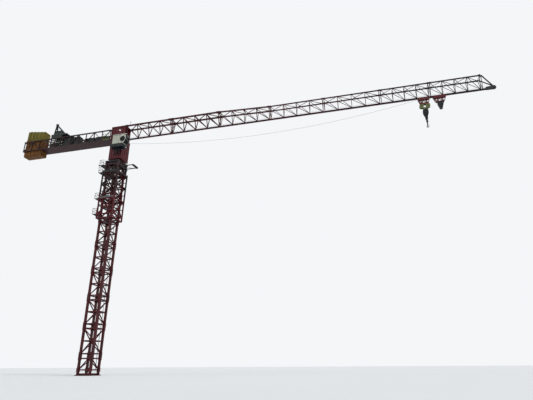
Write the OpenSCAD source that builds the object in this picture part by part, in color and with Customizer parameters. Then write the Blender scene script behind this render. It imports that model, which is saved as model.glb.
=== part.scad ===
// Flat-top tower crane at one tenth of full size: one metre of the real crane is 100 mm.
// The mast stands on the origin, the jib points along +X and the cab hangs on the -Y side.

/* [Mast] */
// Outside width of the square mast
mast_w = 260; // [230:2:290]
// Width of a mast corner post
mast_post_w = 34; // [28:1:38]
// Width of a mast brace
mast_brace_w = 20; // [14:1:24]
// Height of one mast section
section_h = 480; // [440:5:520]
// Height of the base stub under the sections
stub_h = 305; // [280:5:330]
// Width of a foot plate
foot_w = 76; // [66:1:84]
// Thickness of a foot plate
foot_t = 8; // [6:1:12]
// Diameter of an anchor bolt hole
anchor_d = 6; // [4:0.5:8]
// Distance between anchor holes
anchor_spacing = 52; // [44:1:56]
// Width of a cross beam at the base
cross_w = 24; // [18:1:30]
// Height of the base frame
cross_h = 60; // [50:1:80]

/* [Climbing cage] */
// Clear gap between the mast and the cage
cage_gap = 20; // [16:1:24]
// Width of a cage corner post
cage_post_w = 22; // [16:1:26]
// Height of a cage ring beam
cage_beam_h = 20; // [14:1:26]
// Width of a cage brace
cage_brace_w = 14; // [10:1:18]
// Length of the cage below the mast's top
cage_h = 955; // [920:5:1000]
// Reach of the platforms on the cage's rear side
platform_reach = 89; // [80:1:100]
// Thickness of a platform deck
deck_t = 6; // [4:0.5:8]
// Height of a handrail
rail_h = 110; // [95:1:120]
// Width of a handrail bar
rail_w = 5; // [4:0.5:6]
// One stroke of the climbing jack
climb_stroke = 150; // [120:5:150]
// Diameter of the climbing jack's rod
jack_rod_d = 12; // [9:1:14]
// Diameter of the climbing jack's barrel
jack_barrel_d = 24; // [20:1:26]
// Reach of the monorail in front of the cage
monorail_reach = 268; // [250:2:290]

/* [Slewing part] */
// Height of the slewing support above the mast
support_h = 245; // [230:5:260]
// Outside diameter of the slewing ring
ring_d = 220; // [200:2:224]
// Height of the slewing ring
ring_h = 20; // [16:1:26]
// Running gap of the slewing ring
ring_gap = 0.5; // [0.3:0.1:1]
// Height of the turntable box
turntable_h = 445; // [430:5:460]
// Reach of the turntable behind the axis
turntable_rear = 112; // [112:1:130]
// Reach of the turntable ahead of the axis
turntable_front = 154; // [140:1:156]
// Width of the turntable
turntable_w = 250; // [240:2:260]
// Plate thickness of the turntable and tower head
plate_t = 6; // [4:0.5:8]
// Length of the tower head behind the axis
head_rear = 150; // [140:1:160]

/* [Jib] */
// Height of the jib's bottom chord above the turntable
jib_lift = 24.5; // [20:0.5:30]
// Where the jib starts
jib_root_x = 160; // [155:1:165]
// Length of a long jib section
long_section = 1000; // [940:5:1060]
// Length of a short jib section
short_section = 820; // [780:5:860]
// Length of the jib's nose
nose_length = 200; // [160:2:240]
// Depth of the jib at its root, between chord centres
root_depth = 272; // [260:1:285]
// Spacing of the top chords at the root
root_spread = 176; // [165:1:190]
// Depth of the jib beyond its third section
tip_depth = 233; // [220:1:245]
// Spacing of the top chords beyond the third section
tip_spread = 154; // [145:1:165]
// Width of a top chord at the jib's root
root_chord_w = 26; // [22:1:28]
// Width of a top chord beyond the third section
top_chord_w = 18; // [14:1:22]
// Width of the bottom chord's flange
flange_w = 24; // [20:1:28]
// Height of the bottom chord
bottom_chord_h = 26; // [22:1:30]
// Thickness of the bottom chord's web and flanges
flange_t = 4; // [3:0.5:5]
// Diameter of a jib brace at the root
root_brace_d = 18; // [14:0.5:20]
// Diameter of a jib brace at the tip
jib_brace_d = 10; // [8:0.5:13]

/* [Counter-jib] */
// Length of the counter-jib from the axis
counter_length = 2250; // [2200:5:2280]
// Width of the counter-jib
counter_w = 240; // [220:2:260]
// Height of the counter-jib's side trusses
counter_h = 235; // [220:1:250]
// Width of a counter-jib chord
counter_chord_w = 20; // [16:1:22]
// Width of a counter-jib brace
counter_brace_w = 14; // [10:1:16]
// Thickness of one counterweight slab
weight_t = 75; // [70:1:80]
// Height of a counterweight slab
weight_h = 620; // [590:5:640]
// Width of a counterweight slab
weight_w = 180; // [170:2:190]
// Gap between two slabs
weight_gap = 9; // [6:0.5:12]
// Height of the winch's roof above the counter-jib's deck
roof_h = 318; // [300:2:330]
// Height of the derrick's apex above the winch's roof
derrick_h = 305; // [280:5:330]
// Diameter of the hoist drum
drum_d = 110; // [90:1:120]
// Distance of the hoist drum from the counter-jib's end
winch_from_end = 700; // [680:5:720]
// Length of the roof over the hoist winch
roof_l = 370; // [340:5:380]
// Spread of the derrick's legs along the counter-jib
derrick_spread = 268; // [240:2:280]
// Distance from the hoist drum to the tall cabinet
cabinet_ahead = 230; // [220:5:250]
// Length of the tall cabinet
tall_cabinet_l = 255; // [230:5:270]
// Length of the resistor box ahead of it
resistor_l = 130; // [110:5:140]
// Length of the low cabinet
low_cabinet_l = 230; // [210:5:240]
// Gap between the cabinets
cabinet_gap = 65; // [55:5:75]

/* [Cab] */
// Length of the cab
cab_l = 285; // [270:1:300]
// Width of the cab
cab_w = 140; // [130:1:150]
// Height of the cab
cab_h = 196; // [186:1:206]
// Thickness of the cab's walls
cab_wall = 5; // [4:0.5:7]
// Gap between the cab and the turntable
cab_gap = 25; // [20:1:35]
// Height of the cab's floor above the turntable's foot
cab_rise = 234.5; // [220:0.5:245]
// Depth of the beams under the cab
cab_beam_h = 60; // [50:1:66]
// Length of the landing behind the cab
rear_landing_l = 40; // [35:1:60]
// Length of the landing beside the counter-jib
side_landing_l = 147; // [135:1:160]
// Width of the landing beside the counter-jib
side_landing_w = 52; // [46:1:60]
// Diameter of the cab's round side window
cab_window_d = 106; // [96:1:112]

/* [Trolleys and hook] */
// How far the main trolley stands behind the jib's tip
trolley_back = 930; // [900:10:1060]
// Distance between the two trolleys
trolley_pitch = 255; // [250:1:280]
// Length of the main trolley
trolley_l = 198; // [180:2:206]
// Length of the second trolley
second_l = 214; // [190:2:220]
// Height of the main trolley's frame below the bottom chord
trolley_h = 100; // [90:1:110]
// Height of the second trolley's frame below the bottom chord
second_h = 106; // [100:1:120]
// Height of the spare block under the second trolley
spare_h = 137; // [120:1:145]
// Diameter of a trolley wheel
wheel_d = 15; // [12:0.5:16]
// Diameter of a rope sheave
sheave_d = 54; // [50:1:58]
// Diameter of the hoist rope
rope_d = 3; // [2.5:0.1:3.4]
// Sag of the hoist rope under the jib
rope_sag = 240; // [200:5:260]
// How far the hook block's top hangs below the bottom chord
block_drop = 222; // [215:1:240]
// Height of the hook block
block_h = 185; // [170:1:200]
// Width of the hook block
block_w = 90; // [80:1:100]
// Thickness of the hook block
block_t = 44; // [38:1:52]
// Diameter of the hook's shank
shank_d = 18; // [14:1:22]
// Length of the hook's swivel housing below the block
housing_l = 60; // [50:1:70]
// Radius of the hook's bowl
bowl_r = 13; // [11:0.5:16]
// Thickness of the hook at its saddle
hook_t = 13; // [11:0.5:15]

/* [Hidden] */
$fn = 32;
// few-sided prisms for bars and tubes
tube_sides = 6;
// overrun of every cut
cut = mast_brace_w / 10;
// gap between a roller or wheel and what it runs on
run_gap = ring_gap * 3 / 5;
// radial gap of a rod in its bore
rod_gap_share = 0.005;
rod_gap = rod_gap_share * jack_rod_d;

section_count = 7;
mast_top = stub_h + section_count * section_h;
post_c = (mast_w - mast_post_w) / 2;
// width of the sleeves at the ends of a mast section's posts
sleeve_w = mast_post_w * 1.25;

cage_in = mast_w / 2 + cage_gap;
cage_out = cage_in + cage_post_w;
cage_c = (cage_in + cage_out) / 2;
sleeve_out = post_c + sleeve_w / 2;
cage_z = mast_top - cage_h;
ring_low_z = cage_z + 4 * cage_beam_h;
ring_mid_z = cage_z + cage_h * 0.41;
ring_high_z = cage_z + cage_h * 0.72;
ring_top_z = mast_top - cage_beam_h;

support_top = mast_top + support_h;
ring_split = support_top + ring_h;
turntable_z = ring_split + ring_gap + ring_h;
head_z = turntable_z + turntable_h;
jib_z = head_z + jib_lift;
cab_z = turntable_z + cab_rise;
// height of the deck under the turntable, whose rails the turntable clears
walkway_z = turntable_z - cage_gap - rail_h;
head_top = jib_z + root_depth + root_chord_w / 2;

counter_z = jib_z - bottom_chord_h / 2;
counter_top = counter_z + counter_h;
section_lengths = [long_section, long_section, long_section, long_section, long_section,
                   short_section, short_section];
jib_count = len(section_lengths);
function jib_start(i) = i == 0 ? jib_root_x : jib_start(i - 1) + section_lengths[i - 1];
jib_tip = jib_start(jib_count);
taper_from = jib_start(2);
taper_to = jib_start(3);
function along(x) = min(1, max(0, (x - taper_from) / (taper_to - taper_from)));
function depth_at(x) = root_depth + (tip_depth - root_depth) * along(x);
function half_spread_at(x) = (root_spread + (tip_spread - root_spread) * along(x)) / 2;
bays = 4;
end_inset = root_chord_w * 0.55;

chord_low = jib_z - bottom_chord_h / 2;
trolley_x = jib_tip - trolley_back;
second_x = trolley_x + trolley_pitch;
block_top = chord_low - block_drop;

// square bar between two points
module bar(from, to, w) {
    d = to - from;
    l = norm(d);
    translate(from) rotate([0, acos(d[2] / l), atan2(d[1], d[0])])
        translate([-w / 2, -w / 2, 0]) cube([w, w, l]);
}

// tube between two points
module tube(from, to, d, sides = tube_sides) {
    v = to - from;
    l = norm(v);
    translate(from) rotate([0, acos(v[2] / l), atan2(v[1], v[0])])
        cylinder(d = d, h = l, $fn = sides);
}

// box given by its low and high corners
module block(low, high) {
    translate(low) cube(high - low);
}

// box centred in X and Y that stands on z
module pad(x, y, z, w, d, h) {
    translate([x - w / 2, y - d / 2, z]) cube([w, d, h]);
}

// round pin centred at a point, along Y
module cross_pin(x, y, z, d, l) {
    translate([x, y + l / 2, z]) rotate([90, 0, 0]) cylinder(d = d, h = l);
}

// handrail along a line of points on a deck
module handrail(points, z, h = rail_h) {
    for (i = [0 : len(points) - 1])
        bar([points[i][0], points[i][1], z], [points[i][0], points[i][1], z + h], rail_w);
    for (i = [0 : len(points) - 2], level = [0.5, 1])
        bar([points[i][0], points[i][1], z + h * level - rail_w / 2],
            [points[i + 1][0], points[i + 1][1], z + h * level - rail_w / 2], rail_w);
}

// upright gusset from a corner post out to the edge of its foot plate
module foot_gusset()
    translate([0, foot_t / 4, 0]) rotate([90, 0, 0]) linear_extrude(height = foot_t / 2)
        polygon([[mast_post_w / 3, foot_t / 2], [foot_w / 2 - foot_t / 4, foot_t / 2],
                 [foot_w / 2 - foot_t / 4, foot_t * 1.5], [mast_post_w / 2, cross_h * 0.75],
                 [mast_post_w / 3, cross_h * 0.75]]);

module base_frame() color("firebrick") {
    difference() {
        union() {
            for (sx = [-1, 1], sy = [-1, 1]) {
                pad(sx * post_c, sy * post_c, 0, foot_w, foot_w, foot_t);
                pad(sx * post_c, sy * post_c, 0, mast_post_w, mast_post_w, cross_h);
            }
            for (sx = [-1, 1], sy = [-1, 1], turn = [0 : 90 : 270])
                translate([sx * post_c, sy * post_c, 0]) rotate([0, 0, turn]) foot_gusset();
            for (turn = [45, -45])
                rotate([0, 0, turn])
                    pad(0, 0, 0, 2 * sqrt(2) * post_c, cross_w, cross_h * 0.6);
            for (turn = [0, 90, 180, 270])
                rotate([0, 0, turn])
                    pad(0, post_c, cross_h * 0.3, 2 * post_c, mast_brace_w, cross_h * 0.3);
        }
        for (sx = [-1, 1], sy = [-1, 1], hx = [-1, 1], hy = [-1, 1])
            translate([sx * post_c + hx * anchor_spacing / 2,
                       sy * post_c + hy * anchor_spacing / 2, -cut])
                cylinder(d = anchor_d, h = foot_t + 2 * cut);
    }
}

// corner k of the mast, counted from (-X,-Y) round by (+X,-Y)
function corner(k) = [(k == 1 || k == 2 ? 1 : -1) * post_c, (k >= 2 ? 1 : -1) * post_c];

module mast_frame(z, h, beams, low_corners) {
    joint = sleeve_w;
    for (k = [0 : 3]) {
        c = corner(k);
        pad(c[0], c[1], z, mast_post_w, mast_post_w, h);
        for (zj = [z, z + h - joint * 1.5]) pad(c[0], c[1], zj, joint, joint, joint * 1.5);
        n = corner((k + 1) % 4);
        for (zb = beams) bar([c[0], c[1], zb], [n[0], n[1], zb], mast_brace_w);
    }
    // each face is braced from corners 0 and 2 to the middle of corners 1 and 3
    for (k = low_corners, side = [-1, 1], i = [0 : len(beams) - 2]) {
        low = i % 2 == 0 ? corner(k) : corner((k + side + 4) % 4);
        high = i % 2 == 0 ? corner((k + side + 4) % 4) : corner(k);
        tube([low[0], low[1], beams[i]], [high[0], high[1], beams[i + 1]], mast_brace_w);
    }
}

module mast_base() color("firebrick")
    mast_frame(cross_h, stub_h - cross_h, [cross_h * 1.5, stub_h - mast_post_w * 1.1], [0, 2]);

module mast_section(i) color("firebrick") {
    z = stub_h + (i - 1) * section_h;
    inset = mast_post_w * 1.1;
    mast_frame(z, section_h, [z + inset, z + section_h / 2, z + section_h - inset], [0, 2]);
}

// ladder inside the mast, with a rest platform at every second joint
module mast_ladder() color("slategray") {
    ladder_w = mast_w * 0.17;
    rung = section_h / 16;
    y = post_c - mast_brace_w * 2.5;
    top = mast_top - mast_post_w;
    for (sx = [-1, 1]) pad(sx * ladder_w / 2, y, cross_h, rail_w, rail_w, top - cross_h);
    for (z = [cross_h + rung : rung : top - rung])
        bar([-ladder_w / 2, y, z], [ladder_w / 2, y, z], rail_w * 0.6);
    for (i = [1 : section_count])
        let (z = stub_h + i * section_h - mast_post_w * 1.1)
            for (sx = [-1, 1])
                block([sx * ladder_w / 2 - rail_w / 2, y, z - rail_w / 2],
                      [sx * ladder_w / 2 + rail_w / 2, post_c - mast_brace_w / 2, z + rail_w / 2]);
    for (i = [1 : 2 : section_count - 2])
        let (z = stub_h + i * section_h - mast_post_w * 1.1 + mast_brace_w / 2)
            block([-post_c + mast_post_w, -post_c, z], [-ladder_w, post_c, z + deck_t / 2]);
}

// crosshead that the jack pushes on, with its rod; it rests on lugs of the mast
jack_x = -(cage_out + jack_barrel_d * 0.8);
crosshead_z = ring_low_z + cage_beam_h + climb_stroke + cage_gap;
crosshead_h = cage_beam_h * 1.8;
rod_top = crosshead_z + crosshead_h + 2 * climb_stroke;

module climbing_crosshead() color("dimgray") {
    difference() {
        union() {
            block([jack_x - jack_barrel_d / 2, -post_c, crosshead_z],
                  [-mast_w / 2, post_c, crosshead_z + crosshead_h]);
            for (sy = [-1, 1])
                pad(-mast_w / 2 - cage_gap / 4, sy * post_c, crosshead_z - crosshead_h / 2,
                    cage_gap / 2, mast_post_w, crosshead_h / 2);
        }
        for (sy = [-1, 1])
            block([-cage_out * 2, sy * post_c / 2 - post_c / 3.2, crosshead_z - cut],
                  [-mast_w / 2 - cage_gap, sy * post_c / 2 + post_c / 3.2,
                   crosshead_z + crosshead_h / 3]);
        // clearance round the sleeves of the mast's posts
        for (i = [1 : section_count], sy = [-1, 1])
            pad(-post_c, sy * post_c, stub_h + i * section_h - sleeve_w * 1.5 - run_gap,
                sleeve_w + 2 * run_gap, sleeve_w + 2 * run_gap, sleeve_w * 3 + 2 * run_gap);
    }
    translate([jack_x, 0, crosshead_z + crosshead_h / 2])
        cylinder(d = jack_rod_d, h = rod_top - crosshead_z - crosshead_h / 2);
}

// crossed braces of a cage bay, one behind the other, with a middle bar and two struts
module cage_bay(y, low, high) {
    for (sx = [-1, 1]) {
        back = y + sx * cage_brace_w / 4;
        bar([sx * cage_c, back, low], [-sx * cage_c, back, high], cage_brace_w);
        bar([sx * cage_c / 2, y, low], [sx * cage_c / 2, y, high], cage_brace_w * 0.6);
    }
    bar([-cage_c, y, (low + high) / 2], [cage_c, y, (low + high) / 2], cage_brace_w * 0.8);
}

// roller between two cheeks on a ring beam, which guides the cage along a mast post
module guide_roller(x, side, z) {
    d = cage_gap * 1.2;
    w = mast_post_w * 0.5;
    near = sleeve_out + run_gap;
    y = side * (near + d / 2);
    translate([x - w / 2, y, z + d * 0.6]) rotate([0, 90, 0]) cylinder(d = d, h = w);
    translate([x - w, y, z + d * 0.6]) rotate([0, 90, 0]) cylinder(d = d / 3, h = 2 * w);
    for (end = [-1, 1])
        block([x + end * w * 0.7 - plate_t / 3, min(side * (near + d / 4), side * cage_out),
               z - cage_beam_h / 2],
              [x + end * w * 0.7 + plate_t / 3, max(side * (near + d / 4), side * cage_out),
               z + d * 1.1]);
}

module cage_side(side) color("brown") {
    y = side * cage_c;
    for (sx = [-1, 1]) {
        pad(sx * cage_c, y, cage_z, cage_post_w, cage_post_w, cage_h);
        for (z = [ring_low_z, ring_high_z]) guide_roller(sx * post_c, side, z + cage_beam_h);
    }
    levels = [ring_low_z, ring_mid_z, ring_high_z, ring_top_z];
    for (z = concat([cage_z], levels))
        block([-cage_c, y - cage_post_w / 2, z], [cage_c, y + cage_post_w / 2, z + cage_beam_h]);
    for (i = [0 : 2]) cage_bay(y, levels[i] + cage_beam_h / 2, levels[i + 1] + cage_beam_h / 2);
}

module cage_near_side() cage_side(-1);
module cage_far_side() cage_side(1);

module cage_left_side() color("brown") {
    in = cage_c - cage_post_w / 2;
    mid = cage_beam_h / 2;
    for (z = [cage_z, ring_low_z, ring_mid_z, ring_high_z, ring_top_z])
        block([-cage_out, -in, z], [-cage_in, in, z + cage_beam_h]);
    for (sy = [-1, 1])
        let (x = -cage_c + sy * cage_brace_w / 4, y = in - cage_brace_w) {
            bar([x, sy * y, ring_high_z + mid], [x, -sy * y, ring_top_z + mid], cage_brace_w);
            bar([-cage_c, sy * y, ring_mid_z + mid], [-cage_c, sy * in / 3, ring_high_z + mid],
                cage_brace_w);
        }
}

// the side towards the jib is open where new mast sections come in
module cage_right_side() color("brown") {
    in = cage_c - cage_post_w / 2;
    mid = cage_beam_h / 2;
    for (z = [cage_z, ring_low_z, ring_mid_z, ring_top_z])
        block([cage_in, -in, z], [cage_out, in, z + cage_beam_h]);
    for (sy = [-1, 1])
        let (x = cage_c + sy * cage_brace_w / 4, y = in - cage_brace_w)
            bar([x, sy * y, ring_low_z + mid], [x, -sy * y, ring_mid_z + mid], cage_brace_w);
}

// deck that narrows to nothing but the cage's rear side, with its brackets and handrail
module rear_deck(z, inner) {
    out = cage_out + platform_reach;
    half = cage_out;
    edge = rail_w / 2;
    block([-out, -half, z - deck_t], [-inner, half, z]);
    handrail([[-cage_out - edge, -half + edge], [-out + edge, -half + edge], [-out + edge, -half / 3],
              [-out + edge, half / 3], [-out + edge, half - edge], [-cage_out - edge, half - edge]], z);
    for (side = [-1, 1], y = side * (inner - cage_post_w / 2)) {
        bar([-out + platform_reach / 5, y, z - deck_t / 2],
            [-inner - rail_w, y, z - platform_reach * 0.6], rail_w * 1.5);
        pad(-inner - rail_w / 2, y, z - platform_reach * 0.7, rail_w, cage_post_w,
            platform_reach * 0.2);
    }
}

// decks with handrails on the rear side of the cage and of the slewing support
module cage_platforms() color("darkslategray") {
    difference() {
        union()
            for (z = [ring_low_z, ring_mid_z, ring_top_z]) rear_deck(z + cage_beam_h, cage_out);
        translate([jack_x, 0, ring_mid_z + cage_beam_h - deck_t - cut])
            cylinder(d = jack_barrel_d * 1.3, h = deck_t + 2 * cut);
    }
    rear_deck(walkway_z, cage_in);
}

// barrel of the climbing jack, hung from the cage's high ring beam
module climbing_jack() color("silver") {
    low = crosshead_z + crosshead_h + cage_beam_h;
    high = ring_high_z - cage_beam_h;
    difference() {
        union() {
            translate([jack_x, 0, low]) cylinder(d = jack_barrel_d, h = high - low);
            translate([jack_x, 0, low]) cylinder(d = jack_barrel_d * 1.25, h = cage_beam_h);
            pad(jack_x, 0, high, jack_barrel_d, jack_barrel_d, cage_beam_h);
            block([jack_x - jack_barrel_d / 2, -jack_barrel_d, high + cage_beam_h],
                  [-cage_out, jack_barrel_d, high + 2 * cage_beam_h]);
        }
        translate([jack_x, 0, low - cut])
            cylinder(d = jack_rod_d + 2 * rod_gap, h = rod_top - low + cage_beam_h);
    }
}

// distance of the slewing support's legs from the axis
support_c = cage_in - mast_post_w / 2;

// rails in front of the cage along which new mast sections are brought in
module cage_monorail() color("darkslategray") {
    z = mast_top + support_h * 0.5;
    rail = cage_beam_h * 0.8;
    far = cage_out + monorail_reach;
    plate_face = support_c + plate_t / 2;
    block([cage_in, -cage_in, z], [cage_in + rail, cage_in, z + rail]);
    for (sy = [-1, 1]) {
        y = sy * mast_w * 0.3;
        block([cage_in, y - rail / 3, z], [far, y + rail / 3, z + rail]);
        pad(plate_face + plate_t / 2, y, mast_top + support_h * 0.75, plate_t, rail, rail * 1.5);
        tube([plate_face + plate_t / 2, y, mast_top + support_h * 0.75 + rail],
             [far * 0.75, y, z + rail * 0.5], rail * 0.45);
    }
    block([far - rail / 2, -mast_w * 0.3, z], [far, mast_w * 0.3, z + rail]);
    block([far * 0.93, -mast_w * 0.3 - rail / 2, z - rail * 0.8],
          [far - rail * 0.7, mast_w * 0.3 + rail / 2, z + rail * 0.3]);
}

module slewing_support() color("darkred") {
    c = support_c;
    girder_z = support_top - support_h * 0.35;
    low = mast_top + mast_brace_w;
    under = support_top - foot_t / 2;
    difference() {
        union() {
            pad(0, 0, mast_top, 2 * cage_out, 2 * cage_out, foot_t);
            pad(0, 0, support_top - foot_t, 2 * cage_in + plate_t, 2 * cage_in + plate_t, foot_t);
            for (turn = [0, 90, 180, 270]) rotate([0, 0, turn]) {
                bar([-c, -c, mast_top + foot_t / 2], [-c, -c, under], mast_post_w);
                for (sx = [-1, 1]) {
                    y = -c + sx * mast_brace_w / 4;
                    bar([sx * c, y, low], [-sx * c, y, girder_z + plate_t], mast_brace_w * 0.8);
                    bar([sx * c / 2, -c, mast_top + foot_t / 2], [sx * c / 2, -c, girder_z + plate_t],
                        mast_brace_w * 0.6);
                }
                bar([-c, -c, (low + girder_z) / 2], [c, -c, (low + girder_z) / 2], mast_brace_w * 0.7);
                block([-c, -c - plate_t / 2, girder_z], [c, -c + plate_t / 2, under]);
                block([-c, -c - plate_t * 2, girder_z], [c, -c + plate_t * 2, girder_z + plate_t]);
                for (x = [-1, 0, 1] * c / 2)
                    block([x - plate_t / 2, -c - plate_t * 1.6, girder_z + plate_t / 2],
                          [x + plate_t / 2, -c, under]);
            }
            translate([0, 0, under]) cylinder(d = ring_d, h = ring_h + foot_t / 2);
        }
        pad(0, 0, mast_top - cut, 2 * (post_c - mast_post_w), 2 * (post_c - mast_post_w),
            foot_t + 2 * cut);
        translate([0, 0, support_top - foot_t - cut])
            cylinder(d = ring_d * 0.8, h = ring_h + foot_t + 2 * cut);
    }
}

rib_step = (turntable_rear + turntable_front - plate_t) / 5;
function rib_x(k) = -turntable_rear + k * rib_step;

// ladder on the turntable's rear wall, between its top and bottom flanges
module turntable_ladder() {
    ladder_w = mast_w * 0.17;
    wall = -turntable_rear - plate_t * 1.5;
    for (sy = [-1, 1])
        block([wall - rail_w, sy * ladder_w / 2 - rail_w / 2, turntable_z],
              [wall, sy * ladder_w / 2 + rail_w / 2, head_z]);
    for (k = [1 : 14])
        let (z = turntable_z + k * turntable_h / 15)
            bar([wall - rail_w / 2, -ladder_w / 2, z], [wall - rail_w / 2, ladder_w / 2, z], rail_w * 0.6);
}

module turntable() color("firebrick") {
    x0 = -turntable_rear;
    x1 = turntable_front;
    half = turntable_w / 2;
    rib = plate_t;
    difference() {
        union() {
            translate([0, 0, ring_split + ring_gap]) cylinder(d = ring_d, h = ring_h + plate_t);
            block([x0, -half, turntable_z], [x1, half, head_z]);
            for (k = [0 : 5])
                block([rib_x(k), -half - rib, turntable_z], [rib_x(k) + rib, half + rib, head_z]);
            for (k = [0 : 4])
                let (y = -half + k * (2 * half - rib) / 4)
                    block([x0 - rib, y, turntable_z], [x1 + rib, y + rib, head_z]);
            for (z = [turntable_z, head_z - plate_t])
                block([x0 - rib * 1.5, -half - rib * 1.5, z],
                      [x1 + rib * 1.5, half + rib * 1.5, z + plate_t]);
        }
        block([x0 + plate_t, -half + plate_t, turntable_z + plate_t],
              [x1 - plate_t, half - plate_t, head_z - plate_t]);
        translate([0, 0, ring_split]) cylinder(d = ring_d * 0.8, h = ring_h + 2 * plate_t);
    }
    turntable_ladder();
}

// tower head between the jib and the counter-jib, plated on both sides
module tower_head() color("firebrick") {
    x0 = -head_rear;
    x1 = jib_root_x;
    top = head_top;
    topw = root_spread / 2;
    post = root_chord_w;
    eye_x = x1 * 0.25;
    eye_w = root_depth * 0.16;
    for (side = [-1, 1]) {
        translate([0, side * topw + plate_t / 2, 0]) rotate([90, 0, 0])
            linear_extrude(height = plate_t)
                difference() {
                    polygon([[x0, head_z], [x1, head_z], [x1, top], [x0, top]]);
                    polygon([[eye_x - eye_w, top - root_depth * 0.25],
                             [eye_x, top - root_depth * 0.42],
                             [eye_x + eye_w, top - root_depth * 0.25]]);
                }
        for (x = [x0, x1 - post])
            block([x, side * topw - post / 2, head_z], [x + post, side * topw + post / 2, top]);
        for (z = [head_z, top - post])
            block([x0, side * topw - post / 2, z], [x1, side * topw + post / 2, z + post]);
        for (x = [x0 * 0.5, -plate_t / 2, x1 * 0.62])
            block([x, side * topw - post / 2 + plate_t / 3, head_z],
                  [x + plate_t, side * topw + post / 2 - plate_t / 3, top]);
    }
    for (x = [x0, x1 - post], z = [head_z, top - post])
        block([x, -topw, z], [x + post, topw, z + post]);
    bar([x0 + post / 2, -topw, top - post / 2], [x1 - post / 2, topw, top - post / 2],
        mast_brace_w);
    // bulkhead towards the jib, with a round manhole
    difference() {
        block([x1 - post, -topw, head_z], [x1 - post + plate_t, topw, top]);
        translate([x1 - post - cut, 0, (head_z + top) / 2]) rotate([0, 90, 0])
            cylinder(d = root_spread * 0.5, h = plate_t + 2 * cut);
    }
    block([x1 - post, -topw, chord_low], [x1, topw, chord_low + bottom_chord_h]);
}

cab_x = turntable_front * 0.3;
cab_y = -(turntable_w / 2 + plate_t * 1.5 + cab_gap + cab_w);

// corners of the cab's front seen from the side, from the floor up to the roof
cab_front = [[cab_l - cab_h * 0.23, 0], [cab_l, cab_h * 0.42], [cab_l, cab_h * 0.72],
             [cab_l - cab_h * 0.13, cab_h]];

// outline of the cab seen from the side, its lower front cut back
module cab_outline() {
    polygon(concat([[0, 0]], cab_front, [[0, cab_h]]));
}

// the same outline moved inwards by the walls' thickness
module cab_inside() {
    t = cab_wall;
    f = cab_front;
    polygon([[t, t], [f[0][0] - t * 0.6, t], [f[1][0] - t, f[1][1] + t * 0.5], [f[2][0] - t, f[2][1]],
             [f[3][0] - t * 0.8, cab_h - t], [t, cab_h - t]]);
}

// one pane of the cab's front, from inner to outer depth within the wall
module front_pane(i, inner, outer) {
    a = cab_front[i];
    d = cab_front[i + 1] - a;
    frame = cab_wall * 0.9;
    translate(a) rotate(atan2(d[1], d[0])) translate([frame, -outer])
        square([norm(d) - 2 * frame, inner + outer]);
}

// round window in the cab's side
module side_window() {
    translate([cab_front[0][0] - cab_window_d * 0.22, cab_h * 0.45]) circle(d = cab_window_d);
}

// sweeps an outline seen from the side across the cab, between two distances from its outer wall
module across(near, far) {
    translate([0, far, 0]) rotate([90, 0, 0]) linear_extrude(height = far - near) children();
}

module cab_shell() color("gainsboro")
    translate([cab_x, cab_y, cab_z]) {
        difference() {
            across(0, cab_w) cab_outline();
            across(cab_wall, cab_w - cab_wall) cab_inside();
            across(-cut, cab_w + cut) side_window();
            for (i = [0 : 2])
                across(cab_wall * 1.6, cab_w - cab_wall * 1.6) front_pane(i, cab_wall * 2, cut);
            // door opening at the rear
            block([-cut, cab_w * 0.3, cab_wall], [cab_wall * 2, cab_w * 0.75, cab_h * 0.9]);
        }
        // roof with eaves
        block([-cab_wall, -cab_wall, cab_h - cab_wall / 2],
              [cab_front[3][0] + cab_wall, cab_w + cab_wall, cab_h + cab_wall / 2]);
    }

module cab_glass() color("black")
    translate([cab_x, cab_y, cab_z]) {
        for (y = [cab_wall * 0.25, cab_w - cab_wall * 0.75])
            across(y, y + cab_wall / 2) side_window();
        for (i = [0 : 2])
            across(cab_wall * 1.6, cab_w - cab_wall * 1.6) front_pane(i, cab_wall * 0.75, -cab_wall / 4);
    }

// channel beam under the cab, its open side turned by the sign of the flange
module cab_channel(x0, x1, y, turn) {
    web = plate_t * 0.7;
    flange = turn * cab_beam_h / 3;
    translate([x0, y, cab_z - deck_t - cab_beam_h]) rotate([90, 0, 90])
        linear_extrude(height = x1 - x0)
            polygon([[0, 0], [flange, 0], [flange, web], [turn * web, web],
                     [turn * web, cab_beam_h - web], [flange, cab_beam_h - web],
                     [flange, cab_beam_h], [0, cab_beam_h]]);
}

// bracket and deck that carry the cab on the turntable's side, with the landing behind its door
module cab_platform() color("darkslategray") {
    x0 = cab_x - rear_landing_l;
    x1 = cab_x + cab_l * 0.78;
    wall = -turntable_w / 2;
    out = wall - plate_t * 1.5 - plate_t / 2;
    low = cab_z - deck_t - cab_beam_h;
    edge = rail_w / 2;
    block([x0, cab_y, cab_z - deck_t], [x1, out, cab_z]);
    cab_channel(x0, x1, cab_y, 1);
    cab_channel(x0, x1, cab_y + cab_w, -1);
    for (x = [x0, x1 - plate_t, cab_x])
        block([x, cab_y + plate_t / 2, low + plate_t], [x + plate_t, cab_y + cab_w - plate_t / 2,
                                                        cab_z - deck_t / 2]);
    for (k = [2.5, 3.5, 4.5]) {
        x = rib_x(k) + (plate_t - cage_beam_h) / 2;
        strut_z = cab_z - turntable_h * 0.3;
        block([x, cab_y + cab_w * 0.1, cab_z - deck_t - cage_beam_h],
              [x + cage_beam_h, wall, cab_z - deck_t]);
        bar([x + cage_beam_h / 2, cab_y + cab_w * 0.6, cab_z - deck_t - cage_beam_h / 2],
            [x + cage_beam_h / 2, wall - plate_t, strut_z], cage_brace_w);
        block([x, wall - plate_t, strut_z - cage_beam_h], [x + cage_beam_h, wall, strut_z + cage_beam_h]);
    }
    handrail([[cab_x - cab_wall * 2, cab_y + edge], [x0 + edge, cab_y + edge],
              [x0 + edge, (cab_y + out) / 2], [x0 + edge, out - edge]], cab_z);
}

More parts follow.
